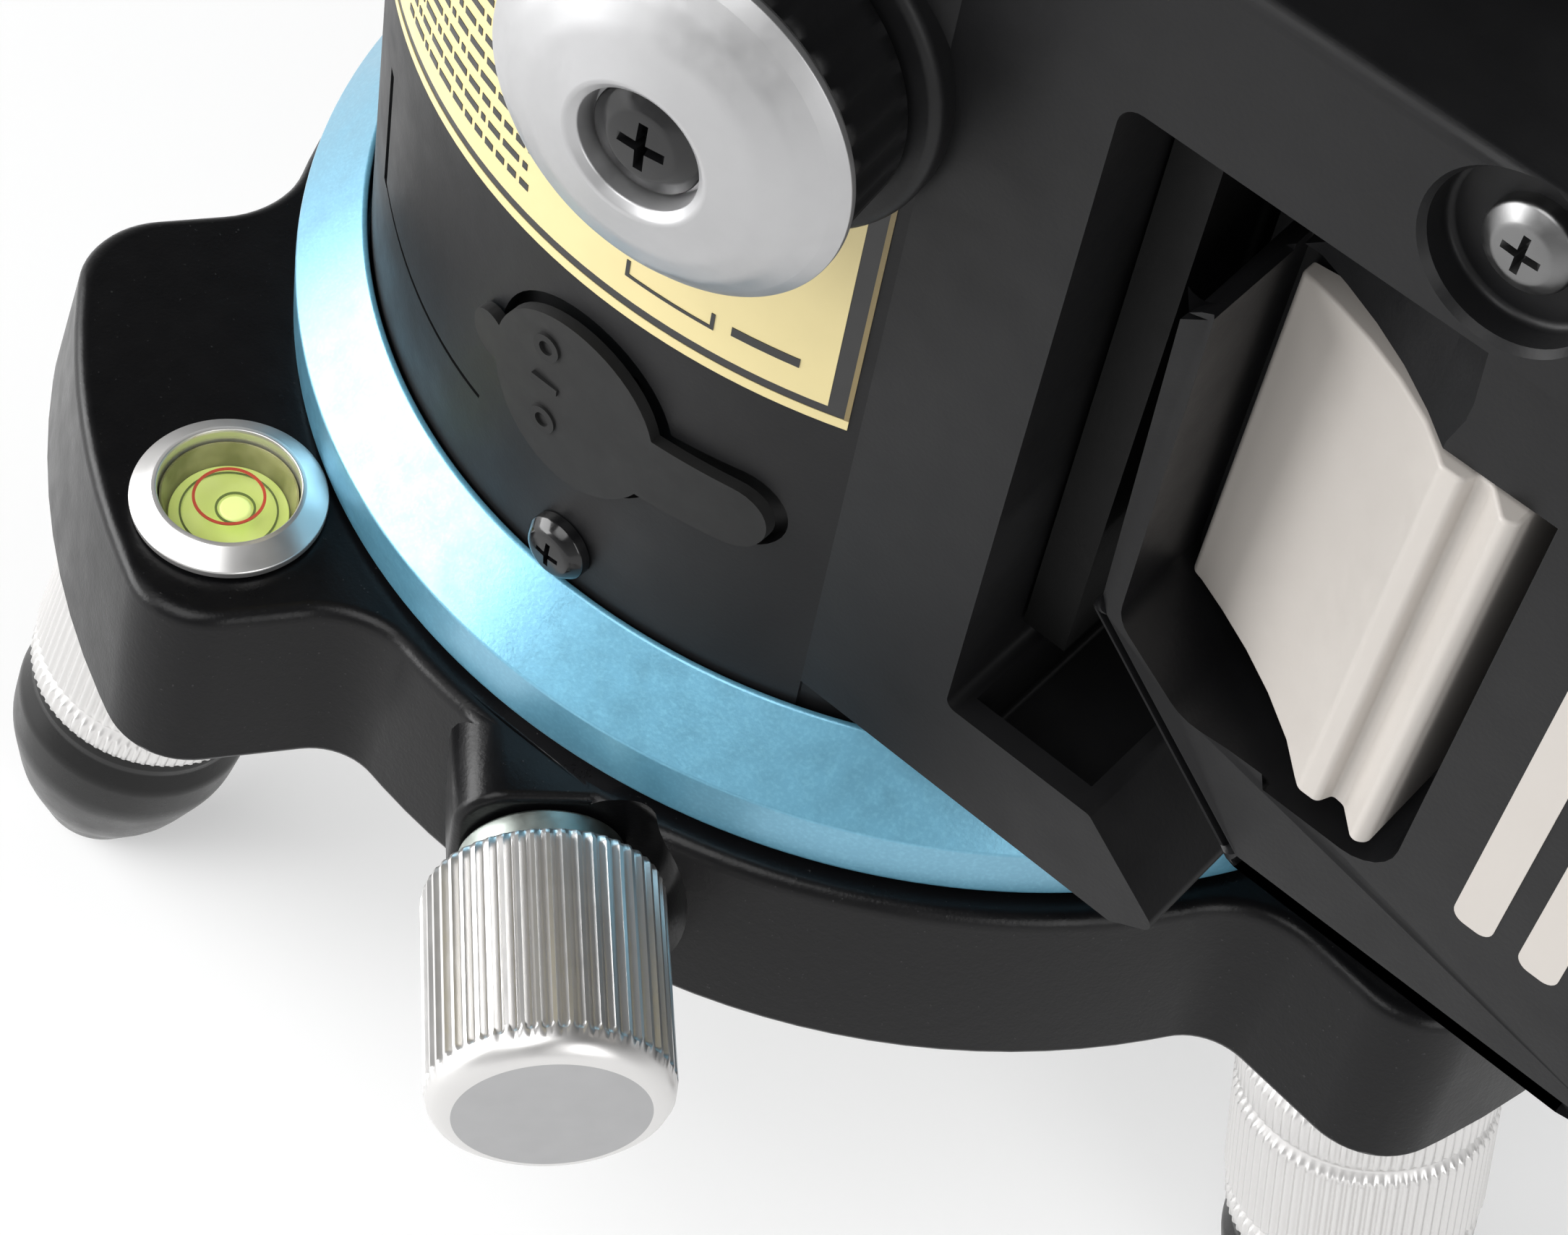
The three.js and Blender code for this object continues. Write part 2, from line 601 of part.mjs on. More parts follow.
function batteryCase() {
  const rear = prismY(packOutline(PACK_X[0], 42, 24.5, 4), NOSE_Y, PACK_Y[1]);
  const nose = prismY(packOutline(36.8, 52, 15, 4), PACK_Y[0], NOSE_Y + 1);
  const railBlock = prismY([
    [34.8, PACK_Z - 19.8], [PACK_X[0] + 1, PACK_Z - 19.8], [PACK_X[0] + 1, PACK_Z + 19.8],
    [34.8, PACK_Z + 19.8],
  ], -29, 26.5);
  const [x0, x1] = POCKET_X;
  const [floor, roof] = [PACK_Z - POCKET_DEPTH_Z, PACK_Z + POCKET_ROOF_Z];
  const buttonPocket = prismY([
    [x0, floor + 4.4], [x0 + 5.4, floor], [x1 - 3, floor], [x1, floor + 3], [x1, roof], [x0, roof],
  ], -60, NOSE_Y - 1);
  const scoop = prism([
    [55, -60], ...THUMB_HOLLOW, [36, THUMB_HOLLOW[2][1]], [36, -60],
  ].map(([x, y]) => new THREE.Vector2(x, y)), roof - 1, PACK_Z + 40);
  return carve([rear, nose, railBlock], [buttonPocket, scoop]);
}

// Release button: a hollowed thumb plate that rises to a ridge, then a lower lip.
function batteryButton() {
  const front = PACK_Y[0];
  const outline = [
    [39.6, NOSE_Y - 1.4], [60.4, NOSE_Y - 1.4], [60.4, front - 0.6], [59.6, front - 1.4], [57, front],
    [56.2, front - 0.6], ...THUMB_HOLLOW, [39.6, front + 6.6],
  ].map(([x, y]) => new THREE.Vector2(x, y));
  const bar = prism(outline, PACK_Z - THUMB_HALF_HEIGHT, PACK_Z + THUMB_HALF_HEIGHT);
  const taper = (side) => prismY([
    [38, PACK_Z + side * 14.4], [54, PACK_Z + side * 16.5], [54, PACK_Z + side * 30],
    [38, PACK_Z + side * 30],
  ], -60, -20);
  return carve([bar], [taper(1), taper(-1)]);
}

// ---------------------------------------------------------------- assembly
const materials = {
  casting: () => finish(0x1d1e20, 0.55, 0.3),
  aluminium: () => finish(0xd8d9dc, 0.32, 1),
  steel: () => finish(0x9a9ca0, 0.35, 1),
  brass: () => finish(0xb8924a, 0.4, 1),
  copper: () => finish(0xb06a45, 0.4, 1),
  rubber: () => finish(0x161617, 0.6, 0),
  anodised: () => finish(0x6db4d3, 0.4, 0.8),
  plastic: () => finish(0x242426, 0.5, 0),
  paleplastic: () => finish(0xdcd7d0, 0.5, 0),
  glass: () => finish(0x2c3438, 0.1, 0),
  fluid: () => finish(0xc9db62, 0.2, 0),
  board: () => finish(0x2c6440, 0.6, 0),
};

const level = new THREE.Group();
const base = new THREE.Group();
const head = new THREE.Group();
level.add(base, head);

// base
const vialAt = polar(VIAL_DISTANCE, VIAL_ANGLE);
const vialGroup = new THREE.Group();
vialGroup.position.set(vialAt.x, vialAt.y, BASE_TOP);
base.add(vialGroup);
add(base, 'base_casting', baseCasting(), materials.casting());
add(base, 'tripod_plate', tripodPlate(), materials.steel());
add(base, 'spindle_bush', tube(SPINDLE_R + 0.2, BUSH_R, 45, BOSS_TOP, 28), materials.brass());
add(vialGroup, 'vial_bezel', lathe([
  [5.7, GAP], [VIAL_R, GAP], [VIAL_R, 1.2], [5.9, VIAL_TOP], [5.7, VIAL_TOP],
], 28), materials.aluminium());
add(vialGroup, 'vial_body', disc(5.4, -6.6, 0.8, 20), materials.fluid());
add(vialGroup, 'vial_glass', disc(5.4, 1.1, 2, 20), materials.glass());
ARM_ANGLES.forEach((angle, i) => addFoot(base, angle, i + 1, materials));

// tangent screw
const collar = tube(2.9, 6.4, WORM_BOSS_END + GAP, KNOB_START - GAP, 24);
add(base, 'worm_collar', toTangent(alongX(collar)), materials.steel());
add(base, 'worm_bearing', wormBearing(), materials.brass());
add(base, 'worm_shaft', toTangent(alongX(wormShaft())), materials.steel());
add(base, 'worm_knob', toTangent(alongX(wormKnob())), materials.aluminium());

// turning parts
add(head, 'turntable', turntable(), materials.steel());
const nut = prism(arc(0, 0, 11, 0, 300, 5), 40.3, 43.6, [arc(0, 0, 6.4, 0, 342, 19)]);
add(head, 'retaining_nut', nut, materials.steel());
add(head, 'worm_wheel', tube(16, WHEEL_R, 49.5, 56.6, 40), materials.brass());
add(head, 'turn_ring', turnRing(), materials.anodised());

// lower housing
add(head, 'lower_housing', lowerHousing(), materials.plastic());
add(head, 'battery_dock', batteryDock(), materials.plastic());
add(head, 'contact_block', contactBlock(), materials.brass());
add(head, 'main_board', block([23.6, 25.4], [-32, 32], [86, 134]), materials.board());
add(head, 'port_socket', portSocket(), materials.plastic());
add(head, 'port_flap', portFlap(), materials.rubber());
add(head, 'housing_screw_1', panScrew(-91.4, 74), materials.steel());
add(head, 'housing_screw_2', panScrew(92.3, 74), materials.steel());
add(head, 'housing_screw_3', panScrew(180, 74), materials.steel());

// lock
const lock = new THREE.Group();
lock.position.z = LOCK_Z;
lock.rotation.z = rad(LOCK_ANGLE);
head.add(lock);
add(lock, 'lock_knob', alongX(lockKnob()), materials.plastic());
add(lock, 'lock_cap', alongX(lockCap()), materials.aluminium());
add(lock, 'lock_screw', alongX(lockScrew()), materials.steel());
add(lock, 'lock_shaft', alongX(lockShaft()), materials.steel());

// battery pack
add(head, 'battery_case', batteryCase(), materials.plastic());
add(head, 'battery_button', batteryButton(), materials.paleplastic());

// laser head
add(head, 'head_shell', headShell(), materials.plastic());
const PANES = { front: [180, -HEAD_X[0]], rear: [0, HEAD_X[1]], left: [-90, HEAD_Y], right: [90, HEAD_Y] };
for (const [side, [angle, distance]] of Object.entries(PANES)) {
  add(head, `window_${side}`, windowPane(angle, distance), materials.glass());
}
[[-1, -1], [1, -1], [1, 1], [-1, 1]].forEach(([sx, sy], i) => {
  add(head, `bumper_${i + 1}`, bumper(sx, sy), materials.rubber());
});
add(head, 'top_cap', topCap(), materials.plastic());
add(head, 'zenith_window', disc(7, CAP_TOP - 3, CAP_TOP - 1, 24), materials.glass());
KEY_PLACES.forEach(([x, y], i) => add(head, `key_${i + 1}`, key(x, y), materials.paleplastic()));

// pendulum
add(head, 'chassis', chassis(), materials.aluminium());
add(head, 'gimbal_ring', gimbalRing(), materials.aluminium());
add(head, 'pendulum_frame', pendulumFrame(), materials.aluminium());
add(head, 'laser_front', laserModule(180, 190), materials.brass());
add(head, 'laser_rear', laserModule(0, 190), materials.brass());
add(head, 'laser_left', laserModule(-90, 176), materials.brass());
add(head, 'laser_right', laserModule(90, 176), materials.brass());
add(head, 'damper_plate', disc(13, 158.4, 161.6, 24), materials.copper());

level.position.set(...HEAD_AXIS, -FLOOR);

export default level;
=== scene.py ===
"""Looks of the line laser level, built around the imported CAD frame.

Lengths are millimetres until piece() places a mesh in the row frame. Pieces of the base and the
head are drawn around the turning axis, at heights above a datum that lies DATUM above the floor, and
pieces on a shaft are drawn along that shaft's joint.
"""

import json
import math

import bmesh
import bpy
from mathutils import Matrix, Vector


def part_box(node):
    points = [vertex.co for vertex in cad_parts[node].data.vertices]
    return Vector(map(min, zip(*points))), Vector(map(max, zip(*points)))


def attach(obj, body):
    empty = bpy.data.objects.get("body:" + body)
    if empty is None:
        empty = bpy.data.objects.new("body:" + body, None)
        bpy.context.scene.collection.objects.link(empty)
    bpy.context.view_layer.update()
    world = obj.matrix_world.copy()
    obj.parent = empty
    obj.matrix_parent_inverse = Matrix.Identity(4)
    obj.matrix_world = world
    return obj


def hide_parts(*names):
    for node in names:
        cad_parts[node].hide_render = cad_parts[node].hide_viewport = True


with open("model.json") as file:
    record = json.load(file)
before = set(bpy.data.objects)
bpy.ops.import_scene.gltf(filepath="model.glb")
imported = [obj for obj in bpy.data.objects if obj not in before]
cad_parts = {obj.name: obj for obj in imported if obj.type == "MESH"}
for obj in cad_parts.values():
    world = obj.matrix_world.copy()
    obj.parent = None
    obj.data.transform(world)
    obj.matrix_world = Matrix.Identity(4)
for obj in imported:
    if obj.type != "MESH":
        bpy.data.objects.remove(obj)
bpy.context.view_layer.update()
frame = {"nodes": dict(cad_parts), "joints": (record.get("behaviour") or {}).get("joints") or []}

MM = 0.001
TAU = 2 * math.pi
CORNERS = ((1, 1), (-1, 1), (-1, -1), (1, -1))
JOINTS = {j["name"]: j for j in frame["joints"]}


def along(point, direction):
    """Places a shape drawn along +Z at point, with +Z along direction and +Y as far up as it can be."""
    z = Vector(direction).normalized()
    x = Vector((0, 0, 1)).cross(z).normalized()
    return Matrix.Translation(point) @ Matrix((x, z.cross(x), z)).transposed().to_4x4()


def axle(joint):
    return along(Vector(JOINTS[joint]["pos_m"]) / MM, JOINTS[joint]["axis"])


def turned(degrees):
    return Matrix.Rotation(math.radians(degrees), 4, "Z")


TURNING_AXIS = Vector(JOINTS["head_turn"]["pos_m"]) / MM
RING_Z = 60
DATUM = TURNING_AXIS.z - RING_Z
HEAD = Matrix.Translation((TURNING_AXIS.x, TURNING_AXIS.y, DATUM))
WORM = axle("fine_turn")
LOCK = axle("lock_turn")
FEET = [axle(f"foot_{n}_turn") for n in (1, 2, 3)]


def top_of(node):
    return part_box(node)[1].z / MM - DATUM


def bottom_of(node):
    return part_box(node)[0].z / MM - DATUM


# ---------------------------------------------------------------- driving dimensions
GAP = 0.3

BASE_BOTTOM = FEET[0].translation.z - DATUM
BASE_TOP = top_of("base_casting")
BASE_R = 57
BASE_FLARE = 2.4
ARM_REACH = 72.4
ARM_HALF_WIDTH = 21
ARM_CORNER_R = 7
ARM_FILLET_R = 8
ARM_ANGLES = [-126, -6, 114]
RECESS_R = 44
RECESS_FLOOR = 47
BOSS_TOP = 53.6

RING_TOP = top_of("turn_ring")
RING_R = 55
RING_SIDE = 5.1
RING_TOP_R = 49.9
RING_SEAT_Z = 66
RING_BORE_R = 44.8

WHEEL_TOP = 7.6
WHEEL_BOTTOM = 30.2
WHEEL_R = 11

KNOB_START = 4.4
KNOB_END = 23.5
KNOB_R = 9.2

VIAL_ANGLE = -117.1
VIAL_DISTANCE = 62.8

DRUM_R = 49.2
SIDE_Y = 45.5
BAY_X = 30.3
BAY_FLOOR = 82
BAY_ROOF = 140
DRUM_FLOOR = 73.2
SHOULDER_TOP = top_of("lower_housing")
SHOULDER_X = 62
DRUM_WALL = 2.4
SLOT_ANGLES = (-127.6, -126.3)
SLOT_Z = (82.5, 94)
LABEL_ANGLES = (-152, -68.6)
LABEL_Z = (100.9, 135)

PACK_Z = (BAY_FLOOR + BAY_ROOF) / 2
PACK_X = (38, 84)
PACK_HALF_WIDTH = 28.5
PACK_Y = (-42, 42)
NOSE_Y = -32
PACK_CUT_X = 42
PACK_CUT_Z = 24.5
PACK_CORNER_R = 5
THUMB_HALF_HEIGHT = 16.4
POCKET_X = (38.8, 62.2)
POCKET_DEPTH_Z = 19.6
POCKET_ROOF_Z = 17
SCREW_RECESS = (54.6, 146.4)
SCREW_SEAT_Y = -42.9

LOCK_R = 11.9
LOCK_CAP_R = 12.6
LOCK_BASE = 50
LOCK_CAP = 56.8

PORT_X = -1.6
PORT_Z = 89.8
COVER_R = 7.6
COVER_LUG = (-8.3, 0)
COVER_LUG_R = 1.9
COVER_TAB = (13.6, -0.7)
COVER_TAB_R = 2.9
COVER_FRONT = 1.2

HEAD_X = (-42, 46)
HEAD_Y = 38
HEAD_CHAMFER = 15
HEAD_TOP = top_of("head_shell")
CAP_TOP = top_of("top_cap")
WINDOW_Z = (166, 214)
WINDOW_HALF = 13
LAMP_X = 34
LAMP_Y = (-3, 0, 3)

# ---------------------------------------------------------------- shapes, as bmeshes in millimetres


def solid(points, faces):
    bm = bmesh.new()
    verts = [bm.verts.new(p) for p in points]
    for face in faces:
        bm.faces.new([verts[i] for i in face])
    bmesh.ops.recalc_face_normals(bm, faces=bm.faces)
    return bm


def rounded(points, step=15):
    """An outline whose corners (x, y, radius) are turned into arcs. Corners (x, y) stay sharp."""
    out = []
    for i, corner in enumerate(points):
        here = Vector(corner[:2])
        if len(corner) == 2:
            out.append(tuple(here))
            continue
        to_last = Vector(points[i - 1][:2]) - here
        to_next = Vector(points[(i + 1) % len(points)][:2]) - here
        half = to_last.angle(to_next) / 2
        reach = min(corner[2] / math.tan(half), 0.49 * to_last.length, 0.49 * to_next.length)
        radius = reach * math.tan(half)
        centre = here + (to_last.normalized() + to_next.normalized()).normalized() * radius / math.sin(half)
        spoke = here + to_last.normalized() * reach - centre
        turn = math.copysign(math.pi - 2 * half, -to_last.cross(to_next))
        steps = max(2, math.ceil(abs(math.degrees(turn)) / step))
        for k in range(steps + 1):
            out.append(tuple(centre + Matrix.Rotation(turn * k / steps, 2) @ spoke))
    return out


def arc(cx, cy, r, start, end, steps):
    angles = [math.radians(start + (end - start) * i / steps) for i in range(steps + 1)]
    return [(cx + r * math.cos(a), cy + r * math.sin(a)) for a in angles]


def flute(turn):
    """Depth of a U-shaped flute, from 0 on its land to 1, over one pitch."""
    return math.sin(math.pi * turn / 0.72) if turn < 0.72 else 0


def lathe(profile, segments=128, flutes=0):
    """Turns (r, z) points about Z. A third number is how deep the flutes are cut at that point."""
    if flutes:
        segments = flutes * 8
    points = []
    rows = []
    for r, z, *depth in profile:
        if r == 0:
            rows.append([len(points)] * segments)
            points.append((0, 0, z))
            continue
        rows.append([len(points) + i for i in range(segments)])
        for i in range(segments):
            reach = r - depth[0] * flute(i / 8 % 1) if depth else r
            points.append((reach * math.cos(TAU * i / segments), reach * math.sin(TAU * i / segments), z))
    if profile[0][0] > 0:
        rows.append(rows[0])
    faces = []
    for low, high in zip(rows, rows[1:]):
        for i in range(segments):
            j = (i + 1) % segments
            corners = dict.fromkeys((low[i], low[j], high[j], high[i]))
            if len(corners) > 2:
                faces.append(list(corners))
    return solid(points, faces)


def disc(r, z0, z1, segments=64):
    return lathe([(0, z0), (r, z0), (r, z1), (0, z1)], segments)


def loft(layers):
    """Joins outlines with equal numbers of points, each given as (z, outline)."""
    n = len(layers[0][1])
    points = [(x, y, z) for z, outline in layers for x, y in outline]
    faces = [list(range(n)), list(range(n * (len(layers) - 1), n * len(layers)))]
    for k in range(len(layers) - 1):
        for i in range(n):
            j = (i + 1) % n
            faces.append([k * n + i, k * n + j, k * n + n + j, k * n + n + i])
    return solid(points, faces)


def prism(outline, z0, z1):
    return loft([(z0, outline), (z1, outline)])


def moved(bm, matrix):
    bm.transform(matrix)
    return bm


def facing_front(x, z, y=0):
    """Turns a shape drawn along +Z so that it points along -Y, from the given place."""
    return Matrix.Translation((x, y, z)) @ Matrix.Rotation(math.pi / 2, 4, "X")


def prism_y(outline, y0, y1):
    """An outline of (x, z) points carried along Y."""
    return moved(prism(outline, -y1, -y0), Matrix.Rotation(math.pi / 2, 4, "X"))


def block(x, y, z):
    return prism([(x[0], y[0]), (x[1], y[0]), (x[1], y[1]), (x[0], y[1])], *z)


def curved_block(r, angles, z, steps=1):
    """A block wrapped around the Z axis, between two radii, two angles in degrees and two heights."""
    outline = arc(0, 0, r[1], *angles, steps) + arc(0, 0, r[0], *reversed(angles), steps)
    return prism(outline, *z)


def bevel(bm, width, segments=3, angle=35, pick=None):
    """Rounds the edges that are sharper than angle, or only those of them that pick chooses."""
    edges = []
    for edge in bm.edges:
        if len(edge.link_faces) == 2 and edge.calc_face_angle() > math.radians(angle):
            if pick is None or pick(*(v.co for v in edge.verts)):
                edges.append(edge)
    bmesh.ops.bevel(bm, geom=edges, offset=width, segments=segments, profile=0.5, affect="EDGES",
                    clamp_overlap=True)
    return bm


def temporary(bm):
    mesh = bpy.data.meshes.new("temporary")
    bm.to_mesh(mesh)
    bm.free()
    obj = bpy.data.objects.new("temporary", mesh)
    bpy.context.scene.collection.objects.link(obj)
    return obj


def combine(bm, others, operation):
    objects = [temporary(b) for b in [bm, *others]]
    for other in objects[1:]:
        modifier = objects[0].modifiers.new("combine", "BOOLEAN")
        modifier.object = other
        modifier.operation = operation
        modifier.solver = "EXACT"
    result = bmesh.new()
    result.from_object(objects[0], bpy.context.evaluated_depsgraph_get())
    for obj in objects:
        mesh = obj.data
        bpy.data.objects.remove(obj)
        bpy.data.meshes.remove(mesh)
    bmesh.ops.remove_doubles(result, verts=result.verts, dist=0.002)
    bmesh.ops.dissolve_limit(result, angle_limit=math.radians(0.4), verts=result.verts, edges=result.edges)
    return result


def cut(bm, *others):
    return combine(bm, others, "DIFFERENCE")


def join(bm, *others):
    return combine(bm, others, "UNION")


def beside(*bms):
    """Puts separate bodies in one mesh."""
    whole = bmesh.new()
    mesh = bpy.data.meshes.new("temporary")
    for bm in bms:
        bm.to_mesh(mesh)
        whole.from_mesh(mesh)
        bm.free()
    bpy.data.meshes.remove(mesh)
    return whole


def painted(bm, index):
    for face in bm.faces:
        face.material_index = index
    return bm


def piece(name, bm, place, body, materials, replaced=(), smooth=32):
    bm.transform(Matrix.Scale(MM, 4) @ place)
    bmesh.ops.recalc_face_normals(bm, faces=bm.faces)
    mesh = bpy.data.meshes.new(name)
    bm.to_mesh(mesh)
    bm.free()
    for polygon in mesh.polygons:
        polygon.use_smooth = True
    mesh.set_sharp_from_angle(angle=math.radians(smooth))
    for material in materials:
        mesh.materials.append(material)
    obj = bpy.data.objects.new(name, mesh)
    bpy.context.scene.collection.objects.link(obj)
    normals = obj.modifiers.new("normals", "WEIGHTED_NORMAL")
    normals.keep_sharp = True
    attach(obj, body)
    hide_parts(*replaced)
    return obj


# ---------------------------------------------------------------- finishes
class Finish:
    """A node material whose patterns are laid in object space, in millimetres."""

    def __init__(self, name, color, roughness, metallic=0.0, **sockets):
        self.material = bpy.data.materials.new(name)
        self.material.use_nodes = True
        self.nodes = self.material.node_tree.nodes
        self.links = self.material.node_tree.links
        self.shader = self.nodes["Principled BSDF"]
        self.color = (*color, 1)
        self.shader.inputs["Base Color"].default_value = self.color
        self.shader.inputs["Roughness"].default_value = roughness
        self.shader.inputs["Metallic"].default_value = metallic
        for socket, value in sockets.items():
            self.shader.inputs[socket.replace("_", " ")].default_value = value
        self.place = self.nodes.new("ShaderNodeTexCoord")
        self.bump = None

    def noise(self, size, detail=2.0, stretch=(1, 1, 1)):
        """Noise whose features are about size millimetres across."""
        mapping = self.nodes.new("ShaderNodeMapping")
        mapping.inputs["Scale"].default_value = [s / (size * MM) for s in stretch]
        self.links.new(self.place.outputs["Object"], mapping.inputs["Vector"])
        noise = self.nodes.new("ShaderNodeTexNoise")
        noise.inputs["Scale"].default_value = 1
        noise.inputs["Detail"].default_value = detail
        self.links.new(mapping.outputs["Vector"], noise.inputs["Vector"])
        return noise.outputs["Fac"]

    def spread(self, source, low, high, out_low=0.0, out_high=1.0):
        node = self.nodes.new("ShaderNodeMapRange")
        node.inputs["From Min"].default_value = low
        node.inputs["From Max"].default_value = high
        node.inputs["To Min"].default_value = out_low
        node.inputs["To Max"].default_value = out_high
        self.links.new(source, node.inputs["Value"])
        return node.outputs["Result"]

    def tint(self, source, other):
        """Mixes another colour in where source is 1."""
        mix = self.nodes.new("ShaderNodeMix")
        mix.data_type = "RGBA"
        mix.inputs["A"].default_value = self.color
        mix.inputs["B"].default_value = (*other, 1)
        links = self.shader.inputs["Base Color"].links
        if links:
            self.links.new(links[0].from_socket, mix.inputs["A"])
        self.links.new(source, mix.inputs["Factor"])
        self.links.new(mix.outputs["Result"], self.shader.inputs["Base Color"])
        return self

    def rough(self, source, low, high):
        """Roughness from low to high as source goes from 0.3 to 0.7."""
        self.links.new(self.spread(source, 0.3, 0.7, low, high), self.shader.inputs["Roughness"])
        return self

    def relief(self, source, height, strength=1.0):
        """Bump of the given height in millimetres."""
        bump = self.nodes.new("ShaderNodeBump")
        bump.inputs["Distance"].default_value = height * MM
        bump.inputs["Strength"].default_value = strength
        self.links.new(source, bump.inputs["Height"])
        if self.bump:
            self.links.new(self.bump.outputs["Normal"], bump.inputs["Normal"])
        self.links.new(bump.outputs["Normal"], self.shader.inputs["Normal"])
        self.bump = bump
        return self


def housing_plastic(name="housing_plastic", color=(0.0065, 0.0065, 0.007), roughness=(0.38, 0.48)):
    finish = Finish(name, color, 0.43, Specular_IOR_Level=0.24)
    finish.tint(finish.spread(finish.noise(9, 3), 0.45, 0.75, 0, 0.5), [c * 1.5 for c in color])
    finish.rough(finish.noise(4, 4), *roughness)
    finish.relief(finish.noise(0.35, 3), 0.02, 0.6)
    return finish.material


def powder_coat():
    finish = Finish("powder_coat", (0.0035, 0.0035, 0.004), 0.32, Specular_IOR_Level=0.24)
    finish.rough(finish.noise(3, 3), 0.27, 0.35)
    # Sparse lighter grey flecks are painted sparkle: light caught by the coat's grain, painted into its
    # colour.
    finish.tint(finish.spread(finish.noise(0.3, 1), 0.74, 0.8, 0, 0.5), (0.05, 0.05, 0.05))
    finish.relief(finish.noise(0.9, 2), 0.025, 0.6)
    finish.relief(finish.noise(0.3, 3), 0.02, 0.8)
    return finish.material


def turned_aluminium(name="turned_aluminium", color=(0.74, 0.73, 0.72), roughness=(0.3, 0.36)):
    finish = Finish(name, color, 0.33, 0.85)
    finish.rough(finish.noise(2, 2), *roughness)
    finish.tint(finish.spread(finish.noise(9, 2), 0.5, 0.8, 0, 0.15), [c * 0.88 for c in color])
    return finish.material


def blasted_aluminium():
    finish = Finish("blasted_aluminium", (0.5, 0.5, 0.505), 0.4, 0.85)
    finish.rough(finish.noise(1.5, 3), 0.36, 0.46)
    finish.tint(finish.spread(finish.noise(8, 3), 0.4, 0.7, 0, 0.3), (0.42, 0.42, 0.43))
    finish.relief(finish.noise(0.16, 2), 0.004, 0.5)
    return finish.material


def blue_anodising():
    finish = Finish("blue_anodising", (0.13, 0.37, 0.52), 0.34, 0.55, Coat_Weight=0.9, Coat_Roughness=0.3)
    finish.tint(finish.spread(finish.noise(0.35, 2), 0.45, 0.75, 0, 0.35), (0.22, 0.55, 0.7))
    finish.rough(finish.noise(2, 3), 0.3, 0.42)
    finish.relief(finish.noise(0.3, 3), 0.018, 0.7)
    return finish.material


def black_rubber(name="black_rubber", color=(0.004, 0.004, 0.004), roughness=(0.24, 0.34)):
    finish = Finish(name, color, sum(roughness) / 2, Specular_IOR_Level=0.3)
    finish.rough(finish.noise(3, 4), *roughness)
    finish.tint(finish.spread(finish.noise(1.2, 4), 0.55, 0.8, 0, 0.4), [c * 2 for c in color])
    finish.relief(finish.noise(0.5, 3), 0.012, 0.5)
    return finish.material


def pale_plastic():
    finish = Finish("pale_plastic", (0.46, 0.43, 0.4), 0.42)
    finish.tint(finish.spread(finish.noise(14, 2), 0.4, 0.7, 0, 0.3), (0.42, 0.39, 0.36))
    finish.rough(finish.noise(2, 3), 0.38, 0.5)
    finish.relief(finish.noise(0.3, 2), 0.01, 0.4)
    return finish.material


def metal(name, color, roughness):
    finish = Finish(name, color, sum(roughness) / 2, 1.0)
    finish.rough(finish.noise(0.9, 3), *roughness)
    finish.tint(finish.spread(finish.noise(3, 4), 0.5, 0.8, 0, 0.35), [c * 0.6 for c in color])
    return finish.material


def glossy_black():
    finish = Finish("glossy_black", (0.006, 0.006, 0.0065), 0.16)
    finish.rough(finish.noise(0.7, 3), 0.1, 0.24)
    return finish.material


def label_film(name, color):
    finish = Finish(name, color, 0.34)
    finish.tint(finish.spread(finish.noise(6, 3), 0.45, 0.75, 0, 0.25), [c * 0.85 for c in color])
    finish.rough(finish.noise(1, 3), 0.28, 0.4)
    return finish.material


def clear_glass(name, color, alpha):
    finish = Finish(name, color, 0.04, Alpha=alpha)
    finish.rough(finish.noise(5, 2), 0.02, 0.06)
    return finish.material


def circuit_board():
    finish = Finish("circuit_board", (0.03, 0.2, 0.09), 0.4)
    finish.tint(finish.spread(finish.noise(1.2, 1, (1, 1, 0.2)), 0.55, 0.58), (0.05, 0.3, 0.14))
    return finish.material


def vial_fluid(name, color, shade, painted_glow):
    """A dyed fluid or an ink in it. Its emission is painted light that makes the fluid and the bubble
    brighter.
    """
    finish = Finish(name, color, 0.25, Specular_IOR_Level=0.3, Emission_Color=(*color, 1),
                    Emission_Strength=painted_glow)
    finish.tint(finish.spread(finish.noise(3, 2), 0.4, 0.7, 0, 0.6), shade)
    return finish.material


PLASTIC = housing_plastic()
PACK_PLASTIC = housing_plastic("pack_plastic", (0.005, 0.005, 0.0055), (0.34, 0.44))
# A darker copy of the housing plastic: black plastic made darker as painted shade for parts deep in the bay
# and the port.
SHADED_DARK_PLASTIC = housing_plastic("shaded_dark_plastic", (0.002, 0.002, 0.002), (0.45, 0.55))
COATING = powder_coat()
ALUMINIUM = turned_aluminium()
MATTE_ALUMINIUM = turned_aluminium("matte_aluminium", (0.46, 0.46, 0.465), (0.42, 0.5))
SATIN_ALUMINIUM = blasted_aluminium()
BLUE = blue_anodising()
RUBBER = black_rubber()
SOFT_RUBBER = black_rubber("soft_rubber", (0.01, 0.01, 0.01), (0.5, 0.62))
PALE = pale_plastic()
STEEL = metal("steel", (0.55, 0.56, 0.54), (0.25, 0.4))
COLLAR_STEEL = metal("collar_steel", (0.42, 0.46, 0.43), (0.35, 0.5))
DARK_STEEL = metal("dark_steel", (0.2, 0.2, 0.2), (0.3, 0.42))
BRASS = metal("brass", (0.78, 0.58, 0.28), (0.22, 0.38))
COPPER = metal("copper", (0.75, 0.4, 0.26), (0.25, 0.4))
SCREW_BLACK = glossy_black()
YELLOW_FILM = label_film("yellow_film", (0.66, 0.56, 0.28))
BLACK_FILM = label_film("black_film", (0.015, 0.015, 0.015))
DIM_FILM = label_film("dim_film", (0.2, 0.15, 0.06))
